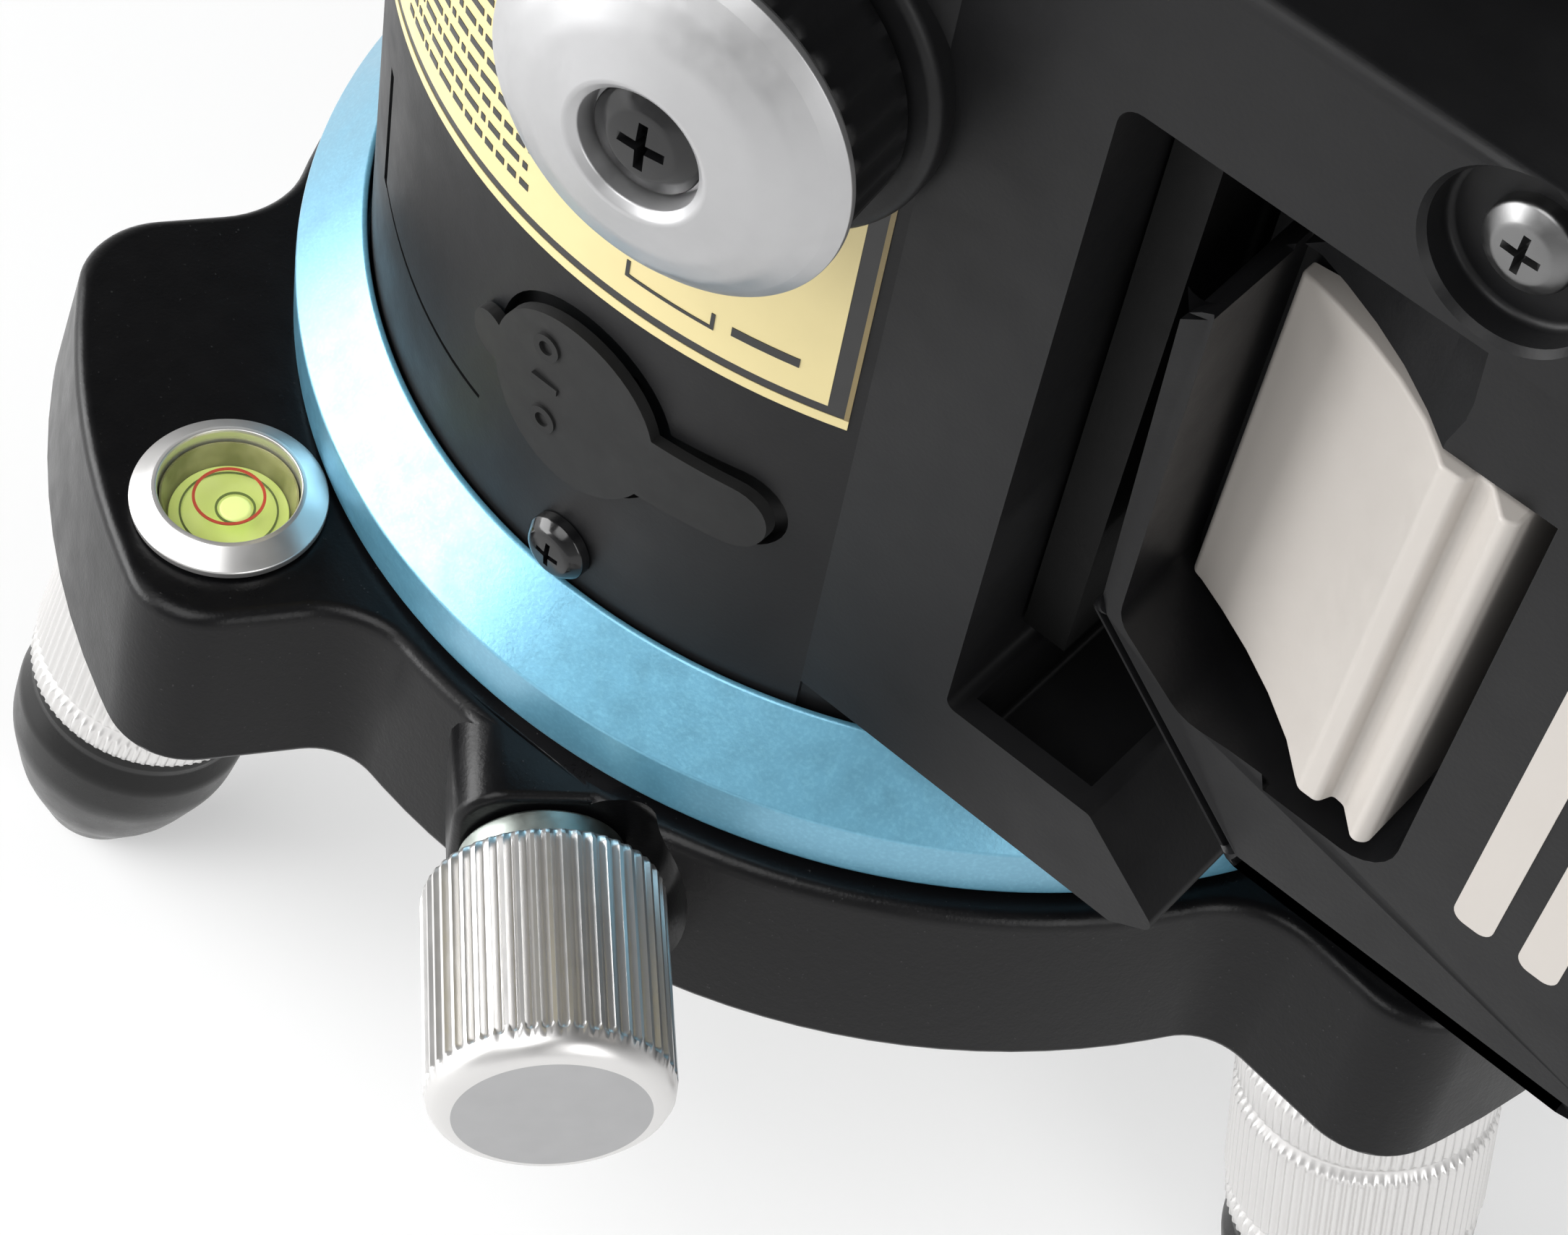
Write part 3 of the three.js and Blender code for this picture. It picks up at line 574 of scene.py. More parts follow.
GREY_INK = label_film("grey_ink", (0.5, 0.5, 0.5))
SMOKED = clear_glass("smoked_glass", (0.02, 0.03, 0.03), 0.55)
CLEAR = clear_glass("clear_glass", (0.85, 0.9, 0.6), 0.03)
BOARD = circuit_board()
# The fluid's glow is painted light that brightens it.
FLUID = vial_fluid("vial_fluid", (0.64, 0.76, 0.2), (0.74, 0.84, 0.34), 0.3)
# The cup's wall is a darker copy of the fluid's colour: painted shade inside the vial.
SHADED_VIAL_WALL = vial_fluid("shaded_vial_wall", (0.2, 0.2, 0.06), (0.5, 0.48, 0.24), 0)
RED_INK = vial_fluid("red_ink", (0.6, 0.04, 0.02), (0.65, 0.06, 0.03), 0)
# Dark ink for the printed ring on the vial's floor, also used as painted shade round the bubble's edge.
DARK_INK_AND_EDGE_SHADE = vial_fluid("dark_ink_and_edge_shade", (0.12, 0.17, 0.03), (0.15, 0.2, 0.04), 0)
# The bubble's lighter colour and stronger glow are a painted highlight.
BUBBLE = vial_fluid("bubble", (0.76, 0.88, 0.3), (0.84, 0.94, 0.45), 0.4)


# ---------------------------------------------------------------- base
def base_outline(grow):
    """A round wall with three blunt arms, widened all round by grow."""
    wall, side, tip = BASE_R + grow, ARM_HALF_WIDTH + grow, ARM_REACH + grow
    fillet, corner = ARM_FILLET_R - grow, ARM_CORNER_R
    fillet_x = math.sqrt((wall + fillet) ** 2 - (side + fillet) ** 2)
    fillet_turn = math.degrees(math.atan2(side + fillet, fillet_x))
    corner_x = math.sqrt((tip - corner) ** 2 - (side - corner) ** 2)
    corner_turn = math.degrees(math.atan2(side - corner, corner_x))
    arm = [
        *arc(fillet_x, -side - fillet, fillet, 180 - fillet_turn, 90, 10),
        *arc(corner_x, -side + corner, corner, -90, -corner_turn, 12),
        *arc(0, 0, tip, -corner_turn * 0.9, corner_turn * 0.9, 8),
        *arc(corner_x, side - corner, corner, corner_turn, 90, 12),
        *arc(fillet_x, side + fillet, fillet, -90, fillet_turn - 180, 10),
        *arc(0, 0, wall, fillet_turn + 1.5, 120 - fillet_turn - 1.5, 24),
    ]
    outline = []
    for angle in ARM_ANGLES:
        turn = Matrix.Rotation(math.radians(angle), 2)
        outline += [tuple(turn @ Vector(p)) for p in arm]
    return outline


def make_base_casting():
    edge, foot_edge = 1.3, 0.9
    layers = []
    for i in range(4):
        t = math.radians(30 * i)
        rise, inset = foot_edge * (1 - math.cos(t)), foot_edge * (1 - math.sin(t))
        layers.append((BASE_BOTTOM + rise, base_outline(BASE_FLARE - inset)))
    for i in range(6):
        t = math.radians(18 * i)
        layers.append((BASE_TOP - edge + edge * math.sin(t), base_outline(-edge * (1 - math.cos(t)))))
    body = loft(layers)
    worm = HEAD.inverted() @ WORM
    feet = [HEAD.inverted() @ foot for foot in FEET]
    vial = Matrix.Translation(turned(VIAL_ANGLE) @ Vector((VIAL_DISTANCE, 0, 0)))
    recess = lathe(rounded([
        (0, RECESS_FLOOR), (RECESS_R, RECESS_FLOOR), (RECESS_R, BASE_TOP - 0.8),
        (RECESS_R + 2, BASE_TOP + 1.2), (0, BASE_TOP + 1.2),
    ]), 128)
    scoop = lathe(rounded([(0, 1), (KNOB_R + 1.5, 1, 1.6), (KNOB_R + 1.5, 18), (0, 18)]), 64)
    pot = cut(body, recess, moved(scoop, worm))
    hub = lathe(rounded([
        (0, RECESS_FLOOR - 1), (14.5, RECESS_FLOOR - 1), (14.5, BOSS_TOP, 0.6), (0, BOSS_TOP),
    ]), 64)
    boss = bevel(prism(rounded([(7, -7, 4), (7, 7.2, 4), (-7, 7.2, 4), (-7, -7, 4)]), -14, 1), 0.8, 4, 60,
                 lambda a, b: a.z > 0.9 and b.z > 0.9)
    pads = [moved(lathe(rounded([(0, -6), (8.2, -6), (8.2, 2.7, 0.8), (0, 2.7)]), 48), foot) for foot in feet]
    whole = join(pot, hub, moved(boss, worm), *pads)
    bores = [moved(disc(3.5, -9.8, 4, 32), foot) for foot in feet]
    return cut(
        whole, disc(11 + GAP, BASE_BOTTOM - 1, BOSS_TOP + 1), moved(disc(3, -30, 5, 32), worm),
        moved(disc(5.9, BASE_TOP - 7, BASE_TOP + 1), vial), *bores,
    )


def make_ring():
    return lathe(rounded([
        (RING_BORE_R, RING_Z, 0.3), (RING_R, RING_Z, 0.5), (RING_R, RING_Z + RING_SIDE, 0.5),
        (RING_TOP_R, RING_TOP, 0.5), (DRUM_R + GAP, RING_TOP, 0.12), (DRUM_R + GAP, RING_SEAT_Z),
        (RING_BORE_R, RING_SEAT_Z, 0.3),
    ]), 256)


def make_tripod_plate():
    """The steel seat, with a hole that takes a 5/8 inch tripod screw."""
    bottom, top = bottom_of("tripod_plate"), BASE_BOTTOM - GAP
    hole = 7.94
    return lathe(rounded([
        (hole, bottom, 0.8), (20.5, bottom, 0.4), (22, bottom + 1.5, 0.4), (22, top), (13, top),
        (13, 38, 0.3), (hole, 38),
    ]), 96)


# ---------------------------------------------------------------- vial
def make_bezel():
    return lathe(rounded([
        (5.5, 0.3), (7.6, 0.3, 0.1), (7.7, 1.0, 0.2), (5.95, 2.15, 0.15), (5.6, 2.25, 0.1), (5.5, 1.95, 0.1),
    ]), 160)


def make_vial():
    # The cup takes the first finish, the darker fluid colour that stands as painted shade on its inner wall.
    cup = painted(lathe([
        (0, -6.6), (5.35, -6.6), (5.35, 1.0), (5.2, 1.0), (4.75, -1.4), (0, -1.4),
    ], 96), 0)
    floor = painted(lathe(rounded([(0, -1.35), (4.6, -1.35), (4.7, -1.1, 0.1), (0, -0.9)]), 96), 1)
    line = painted(lathe([(3.7, -0.93), (3.85, -0.94), (3.85, -0.85), (3.7, -0.84)], 96), 2)
    red = painted(lathe([(2.62, 0.8), (2.85, 0.8), (2.85, 0.9), (2.62, 0.9)], 96), 3)
    offset = Matrix.Translation((1.05, -0.35, 0))
    dome = lathe(rounded([(0, 0.2), (1.35, 0.25, 0.3), (1.2, 0.7, 0.3), (0, 0.75)]), 64)
    bubble = painted(moved(dome, offset), 4)
    # A dark ring that moves with the bubble: painted shade of the bubble's edge.
    bubble_edge_shade = painted(moved(lathe([(1.4, 0.6), (1.58, 0.6), (1.58, 0.7), (1.4, 0.7)], 64), offset), 2)
    return beside(cup, floor, line, red, bubble, bubble_edge_shade)


def make_vial_glass():
    return lathe(rounded([(0, 1.15), (5.35, 1.15), (5.35, 1.75, 0.15), (0, 1.85)]), 96)


# ---------------------------------------------------------------- tangent screw and feet
def make_knob():
    end = KNOB_END
    knob = lathe([
        (0, 13.4), (2.8, 13.4), (2.8, KNOB_START + 0.2), (6.5, KNOB_START), (KNOB_R - 0.8, KNOB_START, 0),
        (KNOB_R - 0.25, KNOB_START + 0.35, 0.3), (KNOB_R, KNOB_START + 1, 0.55), (KNOB_R, end - 2.6, 0.55),
        (KNOB_R, end - 2.2, 0.35), (KNOB_R - 0.05, end - 1.95, 0), (KNOB_R - 0.2, end - 1.2, 0),
        (KNOB_R - 0.65, end - 0.55, 0), (KNOB_R - 1.3, end - 0.15, 0), (KNOB_R - 1.9, end, 0), (0, end),
    ], flutes=50)
    for face in knob.faces:
        face.material_index = int(min(vert.co.z for vert in face.verts) > end - 0.01)
    return knob


def make_worm_shaft():
    start = -55.5
    thread = []
    for i in range(45):
        thread.append((3.5 + 0.7 * math.sin(TAU * i / 4.5), start + 5 + 10 * i / 44))
    return lathe([
        (0, start), (2.5, start), (2.5, start + 4), *thread, (2.5, start + 16), (2.5, 13), (0, 13),
    ], 48)


def make_foot_wheel():
    top, bottom, r = WHEEL_TOP, WHEEL_BOTTOM, WHEEL_R
    knurl = 0.3
    return lathe([
        (3.4, top), (r - 2.0, top, 0), (r - 1.5, top + 0.4, 0), (r - 0.3, top + 2.5, 0),
        (r, top + 2.9, knurl), (r, top + 5.8, knurl), (r - 0.3, top + 6.2, 0.1), (r - 0.8, top + 6.7, 0),
        (r - 0.8, top + 7.1, 0), (r - 0.3, top + 7.7, 0.1), (r, top + 8.1, knurl), (r, bottom - 4.1, knurl),
        (r - 0.3, bottom - 3.7, 0.1), (r - 0.9, bottom - 3.1, 0), (r - 0.9, bottom - 2.8, 0),
        (r - 0.5, bottom - 2.2, 0.1), (r - 0.3, bottom - 1.9, knurl), (r - 0.3, bottom - 0.3, knurl),
        (r - 0.6, bottom, 0), (3.4, bottom),
    ], flutes=76)


def make_foot_pad(place):
    top = WHEEL_BOTTOM + GAP
    length = (BASE_BOTTOM + DATUM) / -JOINTS["foot_1_turn"]["axis"][2]
    cone = lathe(rounded([
        (0, top + 7.3), (3.3, top + 7.3), (3.3, top), (9.9, top, 0.4), (10.1, top + 1.1, 0.5),
        (10.0, top + 1.9, 0.6), (10.7, top + 4.0, 3), (10.4, top + 8.5, 9), (8.3, top + 14.5, 14),
        (4.6, length - 1.2, 3), (0, length + 0.6),
    ], 6), 96)
    floor = block((-300, 300), (-300, 300), (-40, 0))
    return cut(moved(cone, place), floor)


# ---------------------------------------------------------------- lower housing
def flap_outline(grow=0.0):
    """The port cover seen from its front: a round body with a pull tab at its right."""
    body = arc(0, 0, COVER_R + grow, 18, 330, 48)
    tab = arc(*COVER_TAB, COVER_TAB_R + grow, -90, 90, 16)
    return body + tab


def wrapped(outline, depth):
    """Cuts a shape out of a shell that follows the drum, from its front on -Y."""
    shell = curved_block(depth, (-130, -50), (PORT_Z - 14, PORT_Z + 14), 120)
    shape = moved(prism(outline, 40, 60), facing_front(PORT_X, PORT_Z))
    return combine(shell, [shape], "INTERSECT")


def groove(r, angles, z, width):
    """A narrow cutter that runs from one point on the drum to another."""
    (a0, a1), (z0, z1) = angles, z
    steps = 24
    points = []
    for i in range(steps + 1):
        t = i / steps
        angle = math.radians(a0 + (a1 - a0) * t)
        height = z0 + (z1 - z0) * (1 - (1 - t) ** 2)
        for reach in r:
            for side in (-width / 2, width / 2):
                slope = math.atan2((z1 - z0), math.radians(a1 - a0) * DRUM_R)
                spread = angle - side * math.sin(slope) / DRUM_R
                across = (reach * math.cos(spread), reach * math.sin(spread))
                points.append((*across, height + side * math.cos(slope)))
    faces = [[0, 1, 3, 2], [4 * steps + i for i in (0, 1, 3, 2)]]
    for i in range(steps):
        k = 4 * i
        for a, b in ((0, 1), (1, 3), (3, 2), (2, 0)):
            faces.append([k + a, k + b, k + 4 + b, k + 4 + a])
    return solid(points, faces)


def make_housing():
    turn = math.degrees(math.asin(SIDE_Y / DRUM_R))
    drum = prism(arc(0, 0, DRUM_R, turn, 360 - turn, 150), RING_SEAT_Z + GAP, SHOULDER_TOP)
    bevel(drum, 1.6, 5, 60, lambda a, b: min(a.z, b.z) > SHOULDER_TOP - 0.1)
    skirt = disc(DRUM_R - 0.3, RING_SEAT_Z + GAP, DRUM_FLOOR + 0.6, 256)
    side = prism_y(rounded([
        (10, DRUM_FLOOR), (47, DRUM_FLOOR, 0.6), (50.5, DRUM_FLOOR + 2.4, 0.8), (43, BAY_FLOOR, 0.8),
        (BAY_X, BAY_FLOOR, 0.8), (BAY_X, BAY_ROOF, 1.5), (SHOULDER_X, BAY_ROOF, 1),
        (SHOULDER_X, SHOULDER_TOP, 2.2), (10, SHOULDER_TOP),
    ]), -SIDE_Y, SIDE_Y)
    at_bay = lambda p: BAY_X - 0.1 < p.x < BAY_X + 0.1
    bevel(side, 2.2, 5, 60, lambda a, b: at_bay(a) and at_bay(b) and abs(a.z - b.z) > 30)
    high = lambda p: p.z > SHOULDER_TOP - 2.3
    bevel(side, 1.6, 5, 60, lambda a, b: high(a) and high(b))
    lock = HEAD.inverted() @ LOCK
    boss = lathe(rounded([(0, 38), (13.6, 38), (13.6, LOCK_BASE - GAP, 0.8), (0, LOCK_BASE - GAP)]), 96)
    whole = join(drum, skirt, side, moved(boss, lock))
    inner = DRUM_R - DRUM_WALL
    inner_turn = math.degrees(math.asin((SIDE_Y - DRUM_WALL) / inner))
    inside = prism(
        [*arc(0, 0, inner, inner_turn, 360 - inner_turn, 90), (BAY_X - DRUM_WALL, -SIDE_Y + DRUM_WALL),
         (BAY_X - DRUM_WALL, SIDE_Y - DRUM_WALL)],
        DRUM_FLOOR + 1.4, SHOULDER_TOP - DRUM_WALL)
    tray = prism_y(rounded([
        (BAY_X + 1.2, DRUM_FLOOR + 2, 0.5), (46.4, DRUM_FLOOR + 2, 0.5), (41, BAY_FLOOR + 1),
        (BAY_X + 1.2, BAY_FLOOR + 1),
    ]), -SIDE_Y + 2, SIDE_Y - 2)
    port = bevel(block((PORT_X - 4.4, PORT_X + 4.4), (-55, -40), (PORT_Z - 4, PORT_Z + 4)), 0.8, 3, 60,
                 lambda a, b: abs(a.y - b.y) > 5)
    shadow = wrapped(flap_outline(0.7), (DRUM_R - 1.4, DRUM_R + 2))
    slot = curved_block((DRUM_R - 1.3, DRUM_R + 1), SLOT_ANGLES, SLOT_Z, 2)
    line = groove((DRUM_R - 0.6, DRUM_R + 1), (-126.8, -103.6), (83, 80.2), 0.4)
    seat = -SCREW_SEAT_Y
    recess = lathe(rounded([
        (0, seat), (5.5, seat, 0.5), (5.5, seat + 2.1), (6.2, seat + 3.1), (0, seat + 3.1),
    ]), 64)
    return cut(
        whole, inside, disc(inner, 65, DRUM_FLOOR - 1, 96), disc(12, DRUM_FLOOR - 3, DRUM_FLOOR + 3),
        disc(12, SHOULDER_TOP - 5, SHOULDER_TOP + 2), moved(disc(3.5, 30, 60, 32), lock),
        port, tray, shadow, slot, line, moved(recess, facing_front(*SCREW_RECESS)),
    )


def make_label():
    left, right = LABEL_ANGLES
    low, high = LABEL_Z
    film, paint, ink = [(DRUM_R + 0.02 + 0.05 * i, DRUM_R + 0.1 + 0.05 * i) for i in range(3)]
    per_mm = math.degrees(1 / DRUM_R)
    width, height = (right - left) / per_mm, high - low
    bodies = [painted(curved_block(film, (left, right), (low, high), 60), 1)]

    def strip(start, end, z0, z1, layer=ink, color=1):
        """A printed bar, placed by its distances from the label's right edge and from its lower edge."""
        steps = max(1, round((end - start) / 1.5))
        angles = (right - end * per_mm, right - start * per_mm)
        bodies.append(painted(curved_block(layer, angles, (low + z0, low + z1), steps), color))

    strip(0, width, 0, 0.85, paint, 0)
    strip(0, width, height - 0.85, height, paint, 0)
    strip(0, 0.35, 0.85, height - 0.85, paint, 2)
    strip(1.6, width - 1.6, 1.65, height - 1.65, paint, 0)
    for bar in ((4.0, 9.0, 4.1, 4.9), (10.3, 17.5, 3.7, 4.0), (10.3, 10.6, 3.7, 5.2), (17.2, 17.5, 3.7, 5.2)):
        strip(*bar)
    for row in range(14):
        start = 27 - row * 0.5 + (row * 5 % 3) * 0.4
        while start < 45:
            length = 0.5 + (row * 7 + int(start * 3)) % 4 * 0.45
            strip(start, start + length, 3.6 + 1.7 * row, 4.2 + 1.7 * row)
            start += length + 0.45
    return beside(*bodies)


def make_flap():
    front = DRUM_R + COVER_FRONT
    body = wrapped(flap_outline(), (DRUM_R + GAP, front))
    lug = wrapped(arc(*COVER_LUG, COVER_LUG_R, 0, 345, 23), (DRUM_R + GAP, front))
    whole = bevel(join(body, lug), 0.3, 3, 50, lambda a, b: min(a.xy.length, b.xy.length) > front - 0.3)
    marks = []
    for i, height in enumerate((4.2, 0.6, -3.0)):
        mark = lathe([(0.6, front - 0.6), (1.15, front - 0.6), (1.15, front + 0.12), (0.6, front + 0.12)], 24)
        if i == 1:
            mark = block((-1.2, 1.2), (-0.3, 0.3), (front - 0.6, front + 0.12))
        marks.append(moved(mark, facing_front(PORT_X - 2.4 + 0.2 * i, PORT_Z + height)))
    return join(whole, *marks)


def phillips(size, depth, z):
    """Two crossed blades that taper towards the tip, reaching depth below z."""
    wide, thin = size, size * 0.2
    blades = []
    for a, b in ((wide, thin), (thin, wide)):
        blades.append(loft([
            (z - depth, [(x * a * 0.35, y * b * 0.8) for x, y in CORNERS]),
            (z + 0.3, [(x * a, y * b) for x, y in CORNERS]),
        ]))
    return join(*blades)


def make_pan_screw():
    head = lathe(rounded([(0, 0), (2.7, 0), (2.7, 0.75, 0.3), (2.0, 1.6, 0.9), (0, 1.8)], 10), 64)
    return cut(head, phillips(1.25, 1.1, 1.7))


# ---------------------------------------------------------------- lock
def make_lock_skirt():
    base, top = LOCK_BASE, LOCK_CAP - GAP
    return lathe([
        (3.3, base), (LOCK_R - 0.4, base, 0), (LOCK_R, base + 0.4, 0), (LOCK_R, base + 1.4, 0.2),
        (LOCK_R, top - 1, 0.35), (LOCK_R - 0.3, top - 0.3, 0), (LOCK_R - 0.8, top, 0), (3.3, top),
    ], flutes=30)


def make_lock_cap():
    z, r = LOCK_CAP, LOCK_CAP_R
    return lathe(rounded([
        (3.3, z), (r - 0.4, z, 0.25), (r, z + 0.5, 0.2), (r, z + 0.95, 0.15), (r - 0.9, z + 1.75, 0.3),
        (10.2, z + 2.9, 4), (8.1, z + 3.85, 6), (4.9, z + 4.7, 0.5), (4.25, z + 4.2, 0.25), (4.1, z + 2.4),
        (3.3, z + 2.4),
    ], 8), 192)


def make_lock_screw():
    z = LOCK_CAP + 2.7
    head = lathe(rounded([(0, z), (3.8, z), (3.8, z + 0.5, 0.3), (2.4, z + 1.15, 1), (0, z + 1.3)], 10), 96)
    return cut(head, phillips(1.9, 1.2, z + 1.2))


# ---------------------------------------------------------------- battery pack
def pack_outline(x0, cut_x, cut_z, radius):
    w, x1 = PACK_HALF_WIDTH, PACK_X[1]
    corners = [
        (x0, -cut_z, 1.2), (cut_x, -w, 2), (x1, -w, radius), (x1, w, radius), (cut_x, w, 2), (x0, cut_z, 1.2),
    ]
    return rounded([(x, z + PACK_Z, r) for x, z, r in corners])


def thumb_hollow():
    """Front of the thumb plate from its deep edge to its ridge. The case has the same hollow above it."""
    front = PACK_Y[0]
    return [(40.6, front + 7.1), (43, front + 6.3), (46, front + 5.1), (49, front + 3.6), (52, front + 1.7),
            (55, front - 0.6)]


def make_battery():
    front = PACK_Y[0]
    rear_outline = pack_outline(PACK_X[0], PACK_CUT_X, PACK_CUT_Z, PACK_CORNER_R)
    rear = bevel(prism_y(rear_outline, NOSE_Y, PACK_Y[1]), 1.2, 4, 60)
    nose = bevel(prism_y(pack_outline(36.8, 52, 15, PACK_CORNER_R), front, NOSE_Y + 2), 1.2, 4, 60,
                 lambda a, b: max(a.y, b.y) < front + 0.1)
    rails = block((34.8, PACK_X[0] + 2), (-29, 26.5), (PACK_Z - 19.8, PACK_Z + 19.8))
    (x0, x1), low = POCKET_X, PACK_Z - POCKET_DEPTH_Z
    pocket = prism_y(rounded([
        (x0, low + 5.4, 3), (x0 + 6.4, low, 4), (x1, low, 3.5), (x1, PACK_Z + POCKET_ROOF_Z),
        (x0, PACK_Z + POCKET_ROOF_Z),
    ]), -60, NOSE_Y - 1)
    scoop = prism([(55, -60), *reversed(thumb_hollow()), (36, thumb_hollow()[0][1]), (36, -60)],
                  PACK_Z + POCKET_ROOF_Z - 1, PACK_Z + 40)
    whole = join(rear, nose, rails)
    hollow = cut(whole, pocket, scoop)
    at_rim = lambda p: p.y < front + 0.1 and x0 - 0.1 < p.x < x1 + 0.1 and p.z > low - 0.1
    bevel(hollow, 0.8, 4, 60, lambda a, b: at_rim(a) and at_rim(b))
    seam = cut(prism_y(pack_outline(PACK_X[0] - 5, PACK_CUT_X, PACK_CUT_Z, PACK_CORNER_R), 3, 3.6),
               prism_y(rounded([(PACK_X[0] - 10, PACK_Z - 27.9), (83.4, PACK_Z - 27.9, 4.4),
                                (83.4, PACK_Z + 27.9, 4.4), (PACK_X[0] - 10, PACK_Z + 27.9)]), 2, 5))
    ribs = []
    for y in range(10, 36, 5):
        ribs.append(bevel(block((83.2, 90), (y, y + 2.2), (PACK_Z - 20, PACK_Z + 20)), 0.5, 2, 60))
    return cut(hollow, seam, *ribs)


def make_thumb_plate():
    back, front = NOSE_Y - 1.4, PACK_Y[0]
    hollow = thumb_hollow()[:-1]
    outline = [
        *rounded([
            (39.6, back), (60.4, back), (60.4, front - 0.9, 0.8), (59.5, front - 1.5, 0.8),
            (57.6, front + 0.4, 0.7), (56.7, front + 0.5, 0.3), (56.2, front - 0.7, 0.6),
            (54.7, front - 0.7, 0.8), hollow[-1],
        ]),
        *reversed(hollow[:-1]), *rounded([hollow[0], (39.6, front + 7.3, 0.8), (39.6, back)])[1:-1],
    ]
    bar = prism(outline, PACK_Z - THUMB_HALF_HEIGHT, PACK_Z + THUMB_HALF_HEIGHT)
    tapers = []
    for side in (1, -1):
        corners = [(38, 14.4), (54, 16.4), (54, 30), (38, 30)]
        tapers.append(prism_y([(x, PACK_Z + side * z) for x, z in corners], -60, -20))
    plate = cut(bar, *tapers)
    deep = lambda p: p.y > back - 0.1
    bevel(plate, 2.6, 6, 40, lambda a, b: max(a.x, b.x) < 40.5 and abs(a.y - b.y) > 1)
    return bevel(plate, 0.8, 4, 50, lambda a, b: not (deep(a) and deep(b)) and abs(a.z - b.z) < 3)


def make_shoulder_screw():
    """The steel screw at the bottom of the shoulder's round recess."""
    x, z = SCREW_RECESS
    head = lathe(rounded([(0, 0), (2.9, 0), (2.9, 1.0, 0.4), (1.8, 1.7, 0.8), (0, 1.8)]), 64)
    return moved(cut(head, phillips(1.4, 1.1, 1.7)), facing_front(x, z, SCREW_SEAT_Y))


def make_pack_stripes():
    """Two plain stripes on the pack's front face."""
    stripes = []
    low, high = PACK_Z - 18, PACK_Z + 16
    for x in (67, 72):
        outline = rounded([(x, low, 1), (x + 3, low, 1), (x + 3, high, 1), (x, high, 1)])
        stripes.append(prism_y(outline, PACK_Y[0] - 0.06, PACK_Y[0] + 0.3))
    return beside(*stripes)


# ---------------------------------------------------------------- laser head
def head_outline(inset, radius=3):
    x0, x1, y = HEAD_X[0] + inset, HEAD_X[1] - inset, HEAD_Y - inset
    c = HEAD_CHAMFER - inset * 0.6
    corners = [(x1, -y + c), (x1, y - c), (x1 - c, y), (x0 + c, y), (x0, y - c), (x0, -y + c), (x0 + c, -y),
               (x1 - c, -y)]
    return rounded([(*p, radius) for p in corners], 9)


def make_head_shell():
    shell = prism(head_outline(0), SHOULDER_TOP + GAP, HEAD_TOP)
    bevel(shell, 0.6, 3, 60)
    shell = cut(shell, prism(head_outline(3), SHOULDER_TOP - 1, HEAD_TOP + 1))
    z0, z1 = WINDOW_Z[0] - GAP, WINDOW_Z[1] + GAP
    w = WINDOW_HALF + GAP
    openings = [block((-60, 60), (-w, w), (z0, z1)), block((-w, w), (-60, 60), (z0, z1))]
    for tool in openings:
        bevel(tool, 1.2, 3, 60, lambda a, b: abs(a.x - b.x) > 20 or abs(a.y - b.y) > 90)
    frames = []
    for angle, distance in ((0, HEAD_X[1]), (180, -HEAD_X[0]), (90, HEAD_Y), (-90, HEAD_Y)):
        recess = block((distance - 0.6, distance + 5), (-w - 1.8, w + 1.8), (z0 - 1.8, z1 + 1.8))
        bevel(recess, 2, 4, 60, lambda a, b: abs(a.x - b.x) > 3)
        frames.append(moved(recess, turned(angle)))
    seam = cut(prism(head_outline(-3), 157.5, 158.1), prism(head_outline(0.5), 150, 160))
    return cut(shell, *openings, *frames, seam)


def make_pane(angle, distance):
    pane = block((distance - 2.2, distance - 0.5), (-WINDOW_HALF, WINDOW_HALF), WINDOW_Z)
    bevel(pane, 1.1, 3, 60, lambda a, b: abs(a.x - b.x) > 1)
    return moved(bevel(pane, 0.25, 2, 60), turned(angle))


def make_bumper(sign_x, sign_y):
    x = HEAD_X[1] if sign_x > 0 else -HEAD_X[0]
    y, c, g = HEAD_Y, HEAD_CHAMFER, 0.4
    outline = rounded([
        (x + g, y - c - 4, 0.3), (x + 3.4, y - c - 2, 1.5), (x + 3.4, y - c + 2, 4), (x - c + 2, y + 3.4, 4),
        (x - c - 2, y + 3.4, 1.5), (x - c - 4, y + g, 0.3), (x - c - 1.2, y + g), (x - c + 0.3, y + g, 3),
        (x + g, y - c + 0.3, 3), (x + g, y - c - 1.2),
    ])
    body = prism([(sign_x * px, sign_y * py) for px, py in outline], SHOULDER_TOP + 1, HEAD_TOP + 3)
    bevel(body, 1.1, 4, 60)
    grooves = []
    for i in range(7):
        z = SHOULDER_TOP + 24 + 5 * i
        ridge = [(sign_x * px, sign_y * py) for px, py in
                 ((x + 6, y - c + 3), (x - c + 3, y + 6), (x - c + 1.2, y + 3.4), (x + 3.4, y - c + 1.2))]
        grooves.append(bevel(prism(ridge, z, z + 2), 0.6, 2, 60))
    return cut(body, *grooves)


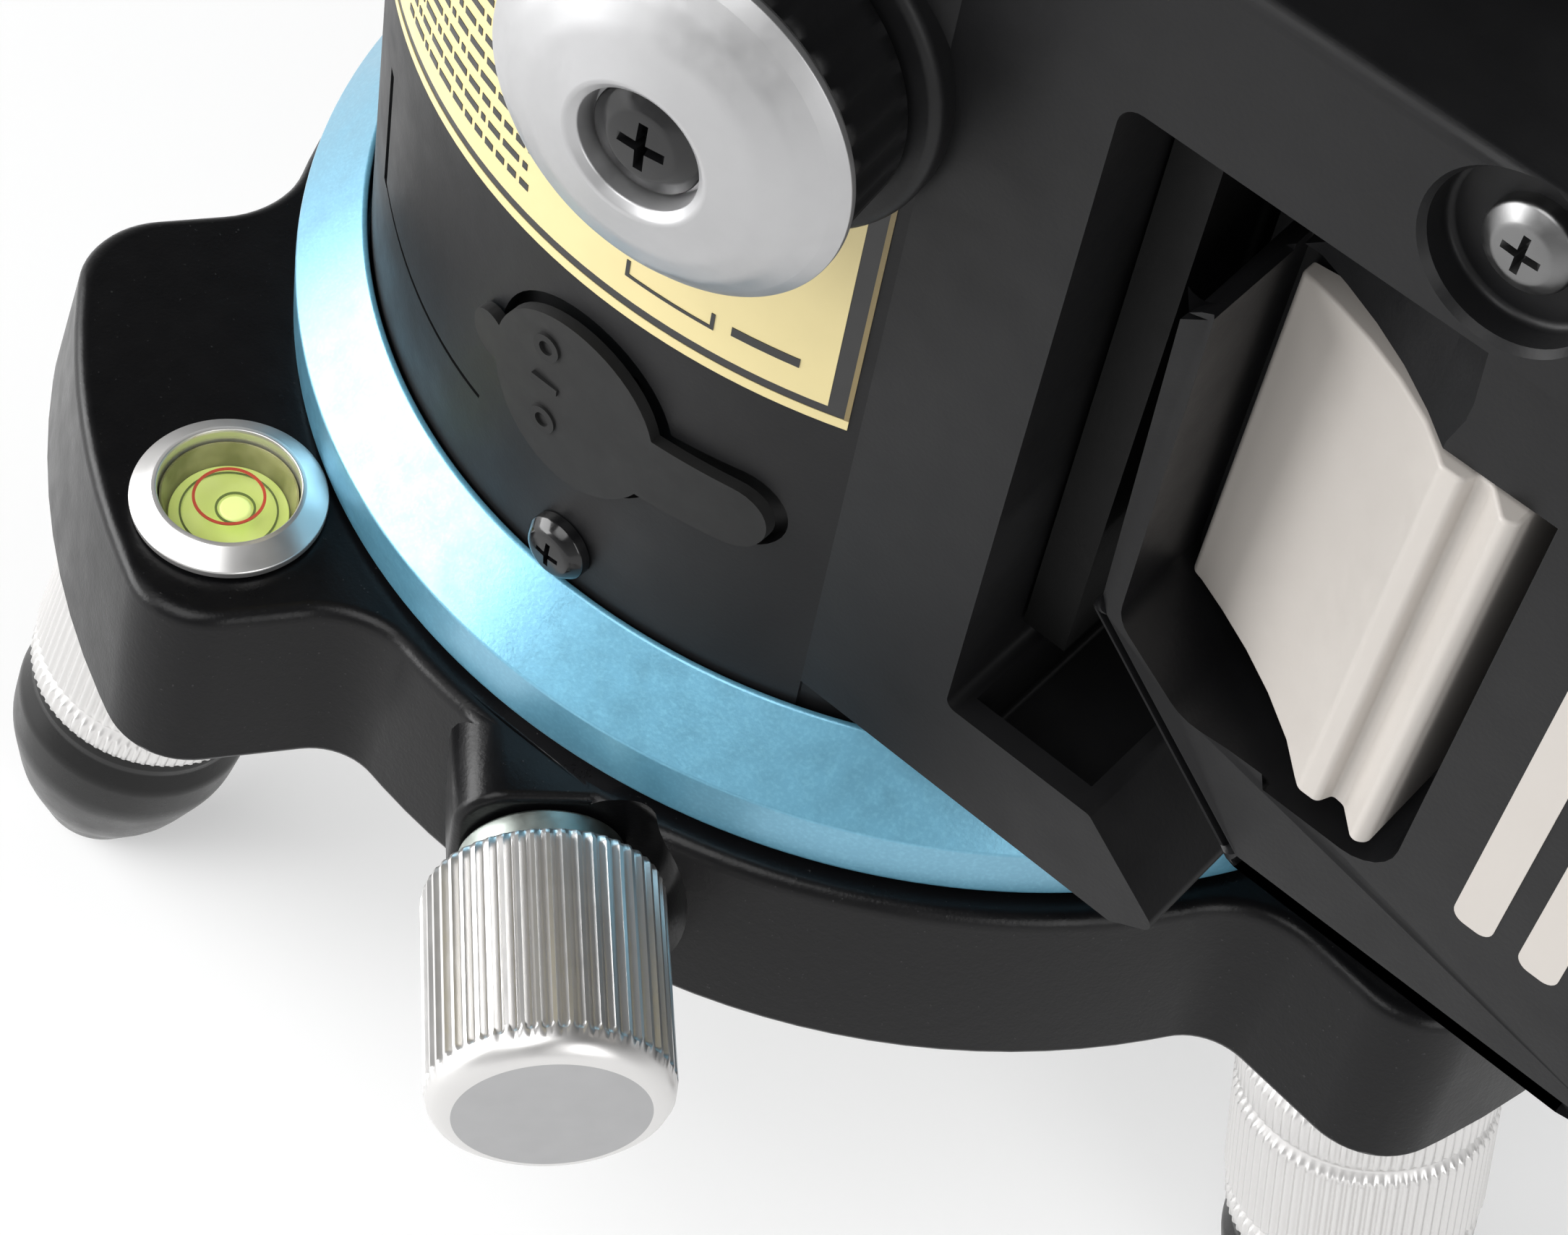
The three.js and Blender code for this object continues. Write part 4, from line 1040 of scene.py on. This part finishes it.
def make_cap():
    layers = [(HEAD_TOP + GAP, head_outline(0.3)), (HEAD_TOP + GAP + 0.3, head_outline(0))]
    for i in range(7):
        t = math.radians(15 * i)
        layers.append((CAP_TOP - 4 + 4 * math.sin(t), head_outline(4 * (1 - math.cos(t)))))
    plate = loft(layers)
    holes = []
    for n in (1, 2):
        low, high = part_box(f"key_{n}")
        centre = HEAD.inverted() @ ((low + high) / 2 / MM)
        hole = lathe(rounded([
            (0, HEAD_TOP - 1), (6.3, HEAD_TOP - 1), (6.3, CAP_TOP - 0.5), (7.2, CAP_TOP + 0.4),
            (7.2, CAP_TOP + 1), (0, CAP_TOP + 1),
        ]), 64)
        holes.append(moved(hole, Matrix.Translation((centre.x, centre.y, 0))))
    zenith = lathe(rounded([
        (0, HEAD_TOP - 1), (7.3, HEAD_TOP - 1), (7.3, CAP_TOP - 0.8), (8.3, CAP_TOP + 0.4),
        (8.3, CAP_TOP + 1), (0, CAP_TOP + 1),
    ]), 96)
    dish = block((12, 36), (-24, 24), (CAP_TOP - 0.5, CAP_TOP + 2))
    bevel(dish, 3, 5, 60, lambda a, b: abs(a.z - b.z) > 1)
    lamps = []
    for y in LAMP_Y:
        lamps.append(moved(disc(0.9, CAP_TOP - 1.2, CAP_TOP + 1, 24), Matrix.Translation((LAMP_X, y, 0))))
    return cut(plate, zenith, dish, *holes, *lamps)


def make_key(n):
    low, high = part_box(f"key_{n}")
    centre = HEAD.inverted() @ ((low + high) / 2 / MM)
    top = top_of(f"key_{n}")
    key = painted(lathe(rounded([
        (0, HEAD_TOP + 2), (5.9, HEAD_TOP + 2), (5.9, top - 0.9, 0.6), (4.8, top - 0.25, 1), (0, top - 0.15),
    ], 8), 96), 0)
    if n == 1:
        mark = lathe([(1.9, top - 0.6), (2.4, top - 0.6), (2.4, top - 0.02), (1.9, top - 0.02)], 48)
    else:
        mark = beside(block((-2.4, 2.4), (-0.25, 0.25), (top - 0.6, top - 0.02)),
                      block((-0.25, 0.25), (0.4, 2.4), (top - 0.6, top - 0.02)))
    return moved(beside(key, painted(mark, 1)), Matrix.Translation((centre.x, centre.y, 0)))


def make_lamps():
    """Three small indicator lenses beside the keys."""
    lamps = []
    for y in LAMP_Y:
        lamp = lathe(rounded([
            (0, CAP_TOP - 1.1), (0.8, CAP_TOP - 1.1), (0.8, CAP_TOP - 0.6, 0.3), (0, CAP_TOP - 0.4),
        ]), 24)
        lamps.append(moved(lamp, Matrix.Translation((LAMP_X, y, 0))))
    return beside(*lamps)


# ---------------------------------------------------------------- assembly
def repaint(material, *nodes):
    """Gives CAD nodes whose shape is right a finished material."""
    for node in nodes:
        data = frame["nodes"][node].data
        data.materials.clear()
        data.materials.append(material)


def build_base():
    piece("casting", make_base_casting(), HEAD, "base", [COATING], ["base_casting"])
    piece("tripod_seat", make_tripod_plate(), HEAD, "base", [STEEL], ["tripod_plate"])
    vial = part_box("vial_bezel")
    centre = (vial[0] + vial[1]) / 2 / MM
    at_vial = Matrix.Translation((centre.x, centre.y, BASE_TOP + DATUM))
    piece("bezel", make_bezel(), at_vial, "base", [ALUMINIUM], ["vial_bezel"])
    piece("vial", make_vial(), at_vial, "base", [SHADED_VIAL_WALL, FLUID, DARK_INK_AND_EDGE_SHADE, RED_INK, BUBBLE],
          ["vial_body"])
    piece("vial_lens", make_vial_glass(), at_vial, "base", [CLEAR], ["vial_glass"])
    for n, place in enumerate(FEET, 1):
        piece(f"knurled_wheel_{n}", make_foot_wheel(), place, f"wheel_{n}", [ALUMINIUM],
              [f"foot_wheel_{n}"], smooth=50)
        piece(f"rubber_foot_{n}", make_foot_pad(place), Matrix.Identity(4), f"foot_{n}", [RUBBER],
              [f"foot_pad_{n}"])
    collar = lathe(rounded([(2.9, 1.3, 0.2), (6.4, 1.3, 0.3), (6.4, 4.1, 0.3), (2.9, 4.1, 0.2)]), 96)
    piece("collar", collar, WORM, "base", [COLLAR_STEEL], ["worm_collar"])
    piece("tangent_knob", make_knob(), WORM, "worm", [ALUMINIUM, MATTE_ALUMINIUM], ["worm_knob"],
          smooth=50)
    piece("tangent_worm", make_worm_shaft(), WORM, "worm", [STEEL], ["worm_shaft"], smooth=50)


def build_housing():
    piece("ring", make_ring(), HEAD, "head", [BLUE], ["turn_ring"])
    piece("housing", make_housing(), HEAD, "head", [PLASTIC], ["lower_housing"], smooth=20)
    piece("shoulder_screw", make_shoulder_screw(), HEAD, "head", [DARK_STEEL])
    piece("side_label", make_label(), HEAD, "head", [YELLOW_FILM, BLACK_FILM, DIM_FILM])
    piece("port_cover", make_flap(), HEAD, "flap", [SOFT_RUBBER], ["port_flap"])
    for n in (1, 2, 3):
        low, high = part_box(f"housing_screw_{n}")
        centre = (low + high) / 2 / MM
        axis = Vector((TURNING_AXIS.x, TURNING_AXIS.y, centre.z))
        outward = centre - axis
        foot = axis + outward.normalized() * (DRUM_R + GAP - 0.2)
        piece(f"pan_screw_{n}", make_pan_screw(), along(foot, outward), "head", [SCREW_BLACK],
              [f"housing_screw_{n}"])


def build_lock():
    piece("lock_grip", make_lock_skirt(), LOCK, "lock", [PLASTIC], ["lock_knob"], smooth=50)
    piece("lock_dome", make_lock_cap(), LOCK, "lock", [SATIN_ALUMINIUM], ["lock_cap"])
    piece("lock_cross_screw", make_lock_screw(), LOCK, "lock", [SCREW_BLACK], ["lock_screw"])


def build_battery():
    piece("pack_case", make_battery(), HEAD, "battery", [PACK_PLASTIC], ["battery_case"])
    piece("thumb_plate", make_thumb_plate(), HEAD, "button", [PALE], ["battery_button"])
    piece("pack_stripes", make_pack_stripes(), HEAD, "battery", [PALE])


def build_head():
    piece("head_case", make_head_shell(), HEAD, "head", [PLASTIC], ["head_shell"])
    panes = {"front": (180, -HEAD_X[0]), "rear": (0, HEAD_X[1]), "left": (-90, HEAD_Y), "right": (90, HEAD_Y)}
    for side, (angle, distance) in panes.items():
        piece(f"pane_{side}", make_pane(angle, distance), HEAD, "head", [SMOKED],
              [f"window_{side}"])
    for n, (sx, sy) in enumerate([(-1, -1), (1, -1), (1, 1), (-1, 1)], 1):
        piece(f"corner_bumper_{n}", make_bumper(sx, sy), HEAD, "head", [RUBBER], [f"bumper_{n}"])
    piece("cap", make_cap(), HEAD, "head", [PLASTIC], ["top_cap"])
    zenith = lathe(rounded([
        (0, CAP_TOP - 3), (7, CAP_TOP - 3), (7, CAP_TOP - 1, 0.3), (0, CAP_TOP - 0.8),
    ]), 96)
    piece("zenith_lens", zenith, HEAD, "head", [SMOKED], ["zenith_window"])
    for n in (1, 2):
        piece(f"key_top_{n}", make_key(n), HEAD, f"key_{n}", [PALE, BLACK_FILM], [f"key_{n}"])
    piece("lamps", make_lamps(), HEAD, "head", [GREY_INK])


def repaint_inner_parts():
    repaint(BRASS, "spindle_bush", "worm_bearing", "worm_wheel", "contact_block", "laser_front", "laser_rear",
            "laser_left", "laser_right")
    repaint(STEEL, "retaining_nut", "lock_shaft", "foot_screw_1", "foot_screw_2", "foot_screw_3")
    repaint(SATIN_ALUMINIUM, "turntable", "chassis", "gimbal_ring", "pendulum_frame")
    repaint(COPPER, "damper_plate")
    # The dock and the port socket get the darker plastic, painted shade of the bay and the port.
    repaint(SHADED_DARK_PLASTIC, "battery_dock", "port_socket")
    repaint(BOARD, "main_board")


# ---------------------------------------------------------------- studio
def backdrop():
    """A floor that glows a little, as a lit-from-below product table does."""
    finish = Finish("backdrop", (0.6, 0.6, 0.6), 0.7, Emission_Color=(1, 1, 1, 1), Emission_Strength=0.42)
    finish.rough(finish.noise(40, 2), 0.65, 0.75)
    return finish.material


def add_floor():
    bpy.ops.mesh.primitive_plane_add(size=8, location=(0, 0, 0))
    floor = bpy.context.object
    floor.name = "floor"
    floor.data.materials.append(backdrop())


def add_area(name, place, aim, size, power):
    light = bpy.data.lights.new(name, "AREA")
    light.shape = "RECTANGLE"
    light.size, light.size_y = size
    light.energy = power
    obj = bpy.data.objects.new(name, light)
    obj.location = place
    obj.rotation_euler = (Vector(aim) - Vector(place)).to_track_quat("-Z", "Y").to_euler()
    bpy.context.scene.collection.objects.link(obj)


def add_lights():
    middle = (0, 0, 0.08)
    add_area("overhead", (-0.1, -0.75, 1.15), middle, (0.8, 0.8), 8)
    add_area("left", (-1.1, -0.7, 0.42), middle, (1.3, 0.7), 24)
    add_area("right", (1.1, -0.5, 0.6), middle, (0.5, 0.8), 4)
    add_area("back", (0.3, 1.2, 0.6), middle, (1.0, 0.5), 2.5)
    world = bpy.data.worlds.new("studio")
    world.use_nodes = True
    nodes, links = world.node_tree.nodes, world.node_tree.links
    place = nodes.new("ShaderNodeTexCoord")
    split = nodes.new("ShaderNodeSeparateXYZ")
    ramp = nodes.new("ShaderNodeMapRange")
    ramp.inputs["From Min"].default_value = 0.1
    ramp.inputs["From Max"].default_value = 0.8
    ramp.inputs["To Min"].default_value = 0.55
    ramp.inputs["To Max"].default_value = 0.06
    links.new(place.outputs["Generated"], split.inputs["Vector"])
    links.new(split.outputs["Z"], ramp.inputs["Value"])
    links.new(ramp.outputs["Result"], nodes["Background"].inputs["Strength"])
    nodes["Background"].inputs["Color"].default_value = (1, 1, 1, 1)
    bpy.context.scene.world = world
    bpy.context.scene.view_settings.view_transform = "Standard"


def add_camera():
    """The view over the lock knob: its place in millimetres from the ring's centre and its three angles."""
    place = Vector((95.05, -178.76, 217.0))
    downward, heading, roll = (math.radians(a) for a in (52.07, 120.61, 12.71))
    level = math.cos(downward)
    aim = Vector((level * math.cos(heading), level * math.sin(heading), -math.sin(downward)))
    camera = bpy.data.cameras.new("camera")
    camera.sensor_width = 36
    camera.lens = 81.68
    camera.clip_start = 0.01
    obj = bpy.data.objects.new("camera", camera)
    turn = aim.to_track_quat("-Z", "Y").to_matrix() @ Matrix.Rotation(roll, 3, "Z")
    obj.matrix_world = Matrix.Translation((TURNING_AXIS + place) * MM) @ turn.to_4x4()
    bpy.context.scene.collection.objects.link(obj)
    bpy.context.scene.camera = obj


add_camera()
build_base()
build_housing()
build_lock()
build_battery()
build_head()
repaint_inner_parts()
add_floor()
add_lights()
